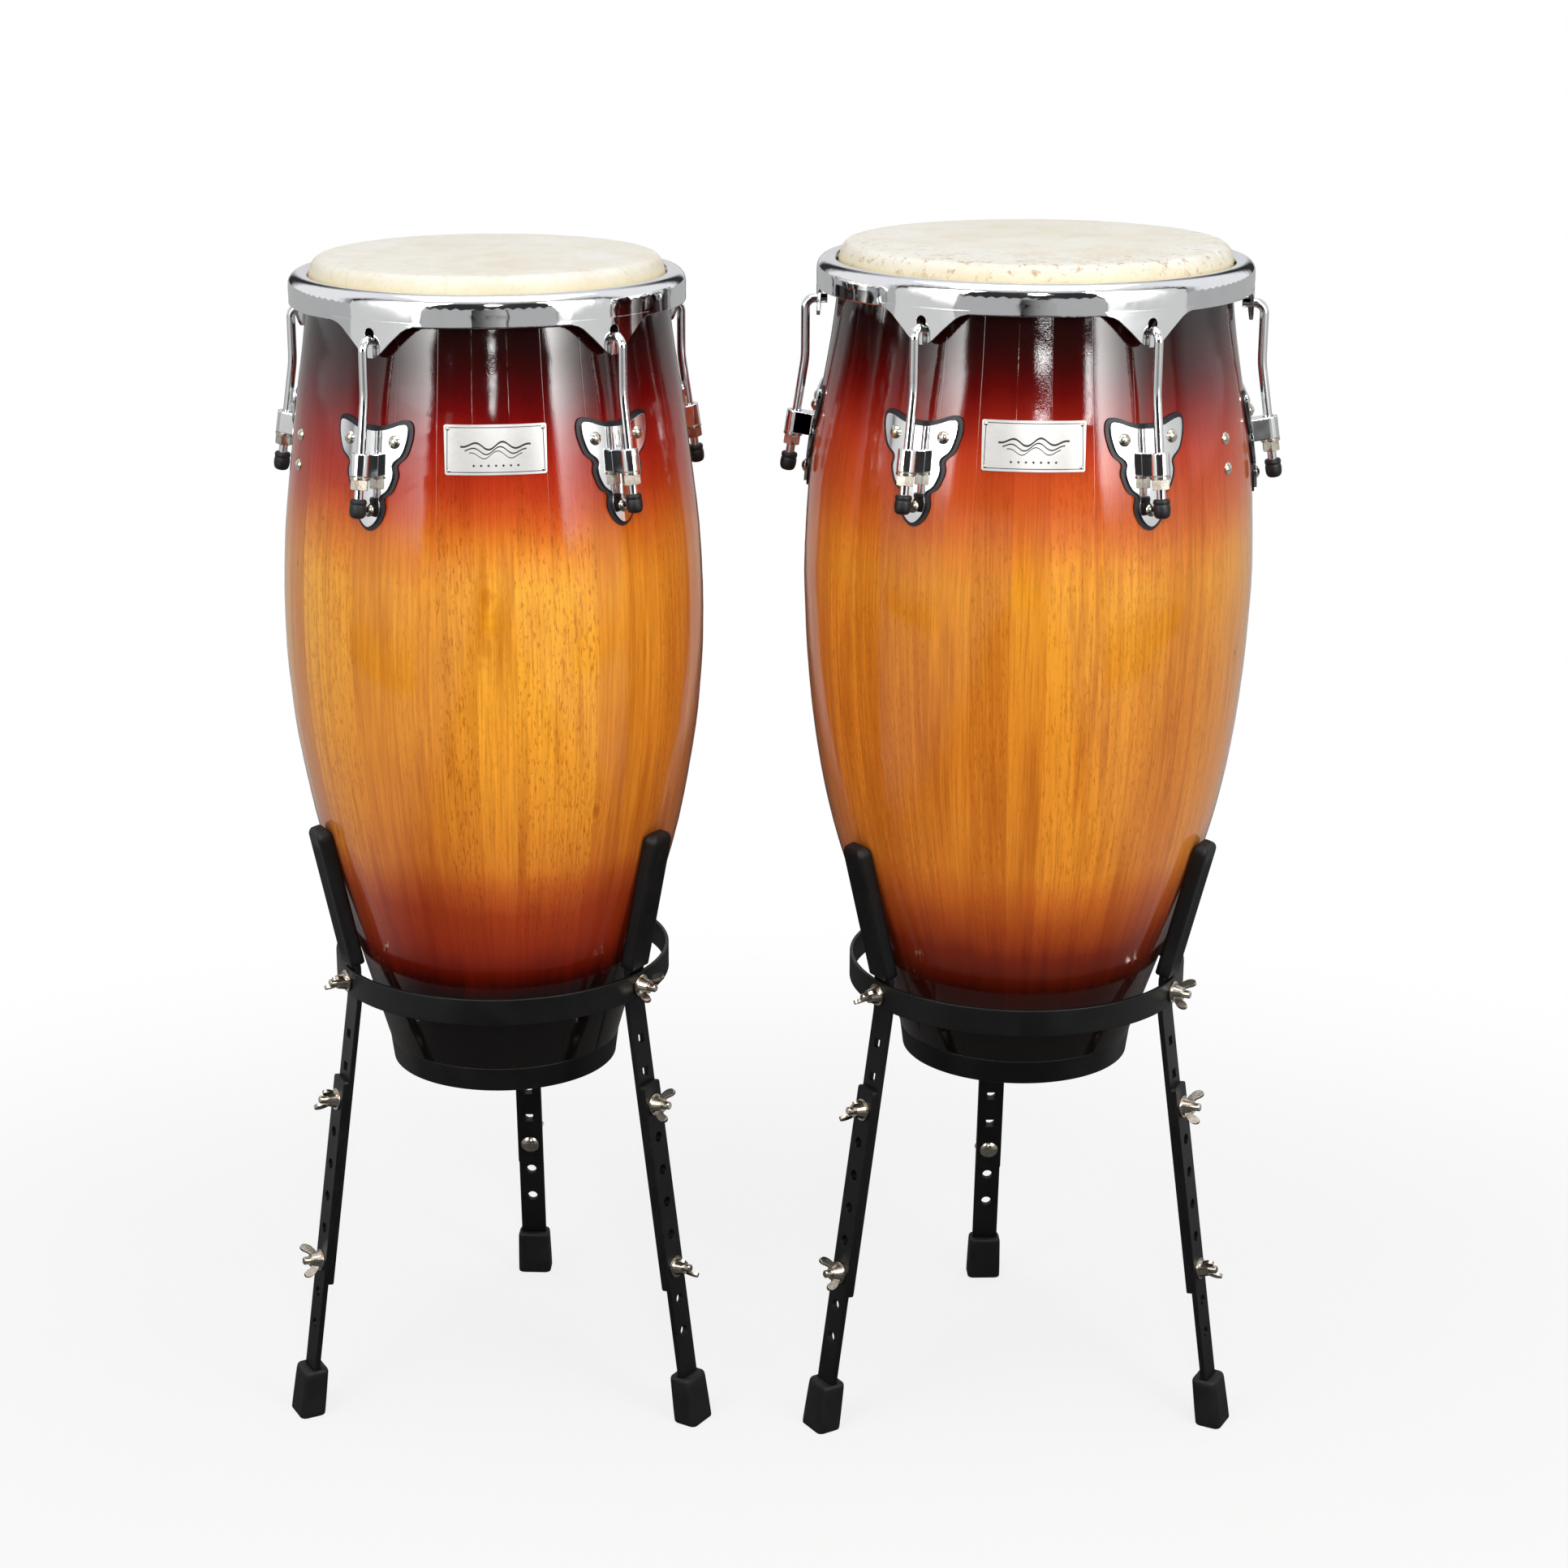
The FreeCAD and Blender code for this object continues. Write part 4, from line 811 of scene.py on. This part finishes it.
# ---------------------------------------------------------------- rubber feet
# (height, half width, half depth, corner radius) in mm, up the outside and into the socket
FOOT_PROFILE = [
    (0.0, 11.6, 8.3, 3.4), (0.0, 12.6, 9.2, 3.9), (0.5, 13.2, 9.8, 4.2),
    (1.4, 13.45, 10.05, 4.4), (4.0, 13.45, 10.05, 4.4), (12.0, 13.3, 9.95, 4.4),
    (20.0, 13.1, 9.8, 4.4), (28.0, 12.9, 9.65, 4.4), (33.6, 12.75, 9.5, 4.4),
    (35.6, 12.5, 9.3, 4.3), (36.8, 11.9, 8.7, 3.9), (37.4, 10.9, 7.7, 3.2),
    (37.5, 10.6, 4.4, 1.2), (37.2, 10.35, 2.5, 0.4), (36.0, 10.25, 2.3, 0.25),
    (30.0, 10.2, 2.25, 0.2),
]


def build_feet(size, drum):
    """Feet that lean towards the drum's axis going up."""
    slope = math.tan(math.radians(drum.foot_lean))
    rows = [(z, rounded_rect(2 * half_width, 2 * half_depth, radius, face_steps=8))
            for z, half_width, half_depth, radius in FOOT_PROFILE]
    seg = len(rows[0][1])
    last_row = (len(rows) - 1) * seg
    faces = [tuple(range(seg))[::-1]]
    for row in range(0, last_row, seg):
        faces += reversed_strip(row, row + seg, seg)
    faces.append(tuple(range(last_row, last_row + seg)))
    for i, (azimuth, rest) in enumerate(zip(drum.legs, drum.feet), 1):
        verts = [rest + around(azimuth, x, y - z * slope, z) for z, row in rows for x, y in row]
        add_piece("%s_rubber_foot_%d" % (size, i), verts, faces,
                  material="foot",
                  rides="%s_leg_%d" % (size, i), replaces="%s_foot_%d" % (size, i))


# ---------------------------------------------------------------- rubber caps on the rod ends
# (radius, distance from the cap's mouth) in mm
CAP_PROFILE = [(3.3, 0.15), (4.7, 0.0), (5.35, 0.35), (5.75, 1.1), (5.85, 2.2), (5.75, 3.0),
               (5.5, 3.5), (5.55, 4.2), (5.8, 5.2), (5.88, 7.2), (5.75, 9.4), (5.2, 11.5),
               (4.1, 12.8), (2.4, 13.4), (0.9, 13.5)]
CAP_BORE = [(3.25, 0.15), (3.25, 9.6)]
CAP_DROP = 23.3      # from the nut's joint to the cap's mouth, mm


def build_caps(size, drum):
    """Closed sleeves, each along its own rod."""
    seg = 40
    profile = smooth_curve(CAP_PROFILE, steps=3)
    last_row = (len(profile) - 1) * seg
    tip = len(profile) * seg
    bore = tip + 1
    faces = []
    for row in range(0, last_row, seg):
        faces += strip(row, row + seg, seg)
    faces += closing_fan(tip, last_row, seg)
    faces += reversed_strip(0, bore, seg)
    faces += reversed_strip(bore, bore + seg, seg)
    faces.append(tuple(range(bore + seg, bore + 2 * seg)))

    for i, lug in enumerate(drum.lugs, 1):
        axis = Vector(lug["axis"]).normalized()
        mouth = Vector(lug["pos_m"]) - axis * (CAP_DROP * MM)
        down = -axis
        side = down.cross(UP).normalized()
        forward = down.cross(side)

        def circle(radius, distance):
            angles = [2 * math.pi * j / seg for j in range(seg)]
            return [mouth + down * (distance * MM) + side * (radius * MM * math.cos(a))
                    + forward * (radius * MM * math.sin(a)) for a in angles]

        verts = [v for radius, distance in profile for v in circle(radius, distance)]
        verts.append(mouth + down * (CAP_PROFILE[-1][1] * MM))
        verts += [v for radius, distance in CAP_BORE for v in circle(radius, distance)]
        add_piece("%s_rod_cap_%d" % (size, i), verts, faces,
                  material="cap",
                  rides=size + "_hoop", replaces=size + "_rod_caps")


for build in (build_head, build_grips, build_feet, build_caps):
    for size, drum in drums.items():
        build(size, drum)

# Turn the faces of the new pieces outwards
for piece in list(bpy.context.scene.objects):
    if piece.type == "MESH" and "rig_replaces" in piece:
        bm = bmesh.new()
        bm.from_mesh(piece.data)
        bmesh.ops.recalc_face_normals(bm, faces=bm.faces)
        bm.to_mesh(piece.data)
        bm.free()


# ---------------------------------------------------------------- floor and surround
def build_floor():
    """White floor that the camera sees fade into plain white, and shiny parts see mostly dark."""
    floor = mesh_object("floor", [(-30, -30, 0), (30, -30, 0), (30, 30, 0), (-30, 30, 0)],
                        [(0, 1, 2, 3)])
    t = material_graph("floor")
    path = t.node("ShaderNodeLightPath")
    patches = t.noise(t.coords(), scale=3.0).remap(0.3, 0.7)
    matt = t.add("ShaderNodeBsdfDiffuse", {
        0: t.mix(patches, (0.90, 0.90, 0.90), (0.92, 0.92, 0.918))})
    x, y, _ = t.separate(t.coords())
    distance = t.length_of(x * 0.8, y)
    # Reflected floor: a faint patch round the stands, brighter far out to both sides
    patch = distance.remap(0.35, 1.3, to=(0.10, 0.03), smooth=True)
    sides = abs(x).remap(0.55, 0.95, to=(0.0, 0.42), smooth=True)
    reflected = t.add("ShaderNodeEmission", {1: patch + sides})
    fade = distance.remap(0.40, 1.1, to=(0.78, 1.0), smooth=True)
    camera_view = t.mix_shader(fade, matt, t.add("ShaderNodeEmission"))
    seen = t.mix_shader(t.wire(path, "Is Camera Ray"), matt, camera_view)
    t.surface(t.mix_shader(t.wire(path, "Is Glossy Ray"), seen, reflected))
    floor.data.materials.append(t.owner)


def build_world():
    """White to the camera, a dim fill to matt parts, and a studio room to shiny parts."""
    world = bpy.data.worlds.new("studio")
    bpy.context.scene.world = world
    t = Graph(world, output="ShaderNodeOutputWorld")
    x, y, z = t.separate(t.coords("Generated"))
    to_degrees = 180 / math.pi
    azimuth = abs(t.math("ARCTAN2", x, y * -1.0) * to_degrees)
    elevation = t.math("ARCSINE", z) * to_degrees
    # Dark room with pale walls at the sides and behind the drums, and a pale ceiling
    sides = azimuth.remap(74.0, 92.0, smooth=True) * azimuth.remap(152.0, 138.0, smooth=True)
    behind = azimuth.remap(160.0, 170.0, to=(0.0, 0.8), smooth=True)
    walls = t.math("MAXIMUM", sides, behind)
    walls = walls * elevation.remap(-25.0, -5.0, to=(0.25, 1.0), smooth=True)
    ceiling = elevation.remap(24.0, 58.0, smooth=True)
    level = t.math("MAXIMUM", walls, ceiling) * 0.85 + 0.030

    def background(colour, strength=1.0):
        return t.add("ShaderNodeBackground", {0: colour, 1: strength})

    room = background(t.combine(level, level, level * 1.03))
    white = background((1.0, 1.0, 1.0))
    fill = background((1.0, 1.0, 1.0), WORLD_FILL)
    path = t.node("ShaderNodeLightPath")
    unseen = t.mix_shader(t.wire(path, "Is Glossy Ray"), fill, room)
    t.surface(t.mix_shader(t.wire(path, "Is Camera Ray"), unseen, white))


# ---------------------------------------------------------------- lamps
def panel(name, near, far, bottom, top, peak, tail, falloff, rise, slant=0.0):
    """Upright glowing panel between two floor points, hidden from the camera.

    It is brightest (peak) at its near edge above the heights `rise`, and falls to tail
    towards the far edge. slant is the near edge's sideways run per metre of height.
    """
    near, far = Vector((*near, 0)), Vector((*far, 0))
    pivot = 1.0          # height at which the slanted edge passes over `near`
    made = mesh_object(name, [
        near + Vector((slant * (bottom - pivot), 0, bottom)), far + Vector((0, 0, bottom)),
        far + Vector((0, 0, top)), near + Vector((slant * (top - pivot), 0, top)),
    ], [(0, 1, 2, 3)])
    made.visible_camera = False
    made.visible_shadow = False

    t = material_graph(name)
    x, _, z = t.separate(t.coords())
    near_edge = (z - pivot) * slant + near.x
    across = abs(x - near_edge) / abs(far.x - near.x)
    hot = t.math("SUBTRACT", 1.0, across, clamp=True) ** falloff
    hot = hot * z.remap(*rise, to=(0.0, peak - tail), smooth=True)
    glow = hot + z.remap(0.12, 0.50, to=(0.0, tail), smooth=True)
    # Soften both edges, and dim what the panel gives to matt surfaces
    glow = glow * across.remap(1.0, 0.88, smooth=True)
    glow = glow * across.remap(0.0, 0.035, to=(0.15, 1.0), smooth=True)
    glossy = t.add("ShaderNodeLightPath", output="Is Glossy Ray")
    glow = glow * glossy.remap(0.0, 1.0, to=(0.42, 1.0))
    t.surface(t.add("ShaderNodeEmission", {0: (1.0, 0.995, 0.985), 1: glow}))
    made.data.materials.append(t.owner)


def area_lamp(name, location, target, width, height, radiance, shape="RECTANGLE"):
    light = bpy.data.lights.new(name, "AREA")
    light.shape = shape
    light.size, light.size_y = width, height
    fill = math.pi / 4 if shape == "ELLIPSE" else 1.0
    light.energy = radiance * math.pi * (width * height * fill)
    lamp = bpy.data.objects.new(name, light)
    lamp.location = location
    aim = Vector(target) - Vector(location)
    lamp.rotation_euler = aim.to_track_quat("-Z", "Y").to_euler()
    bpy.context.scene.collection.objects.link(lamp)
    return lamp


# Narrow lamps for the streaks in the lacquer:
# (drum, number, location, width, height, radiance)
STREAKS = [
    ("small", 1, (0.029, -2.225, 1.10), 0.130, 0.040, 42),
    ("small", 2, (-0.676, -1.418, 0.890), 0.090, 0.025, 30),
    ("large", 1, (0.141, -2.245, 1.09), 0.130, 0.040, 42),
    ("large", 2, (0.815, -1.374, 1.00), 0.095, 0.030, 30),
]


def build_lamps():
    tail = PANEL_LIGHT * 0.035
    panel("left_panel", near=(-0.84, -1.22), far=(-2.20, -0.45), bottom=0.10, top=1.75,
          peak=PANEL_LIGHT * 0.80, tail=tail, falloff=3.0, rise=(0.60, 1.14), slant=0.40)
    panel("right_panel", near=(0.81, -1.24), far=(2.20, -0.45), bottom=0.10, top=1.75,
          peak=PANEL_LIGHT * 1.25, tail=tail, falloff=4.2, rise=(0.60, 1.14), slant=-0.25)
    panel("pale_card", near=(-0.355, -2.60), far=(0.50, -2.60), bottom=0.18, top=0.70,
          peak=0.0, tail=0.55, falloff=1.0, rise=(0.17, 0.19))
    area_lamp("camera_lamp", (0.08, -2.36, 1.58), target=(0, 0, 0.80), width=0.34, height=0.56,
              radiance=FRONT_LIGHT, shape="ELLIPSE")
    for size, number, location, width, height, radiance in STREAKS:
        centre = drums[size].centre
        lamp = area_lamp("%s_streak_%d" % (size, number), location,
                         (centre.x, centre.y, 0.80), width, height, radiance)
        # Each streak lights its own shell only
        receiver = bpy.data.collections.new(lamp.name + "_receiver")
        receiver.objects.link(nodes[size + "_shell"])
        lamp.light_linking.receiver_collection = receiver
    area_lamp("top_box", (0, -0.35, 3.4), target=(0, 0, 0.6), width=3.0, height=2.2,
              radiance=TOP_LIGHT)


# ---------------------------------------------------------------- camera
def build_camera():
    """Placed from the small drum's axis, looking along +Y and tilted down."""
    lens = bpy.data.cameras.new("camera")
    camera = bpy.data.objects.new("camera", lens)
    bpy.context.scene.collection.objects.link(camera)
    lens.sensor_width = 36.0
    lens.lens = 71.4613975
    lens.shift_x = 0.028376294
    lens.clip_end = 100
    axis = drums["small"].centre
    tilt_down = 16.8920826
    camera.location = (axis.x + 0.180566, axis.y - 2.24019, 1.161796)
    camera.rotation_euler = (math.radians(90 - tilt_down), 0, 0)
    bpy.context.scene.camera = camera
    view = bpy.context.scene.view_settings
    view.view_transform = "Standard"
    view.look = "None"
    view.exposure = 0.0


build_floor()
build_world()
build_lamps()
build_camera()
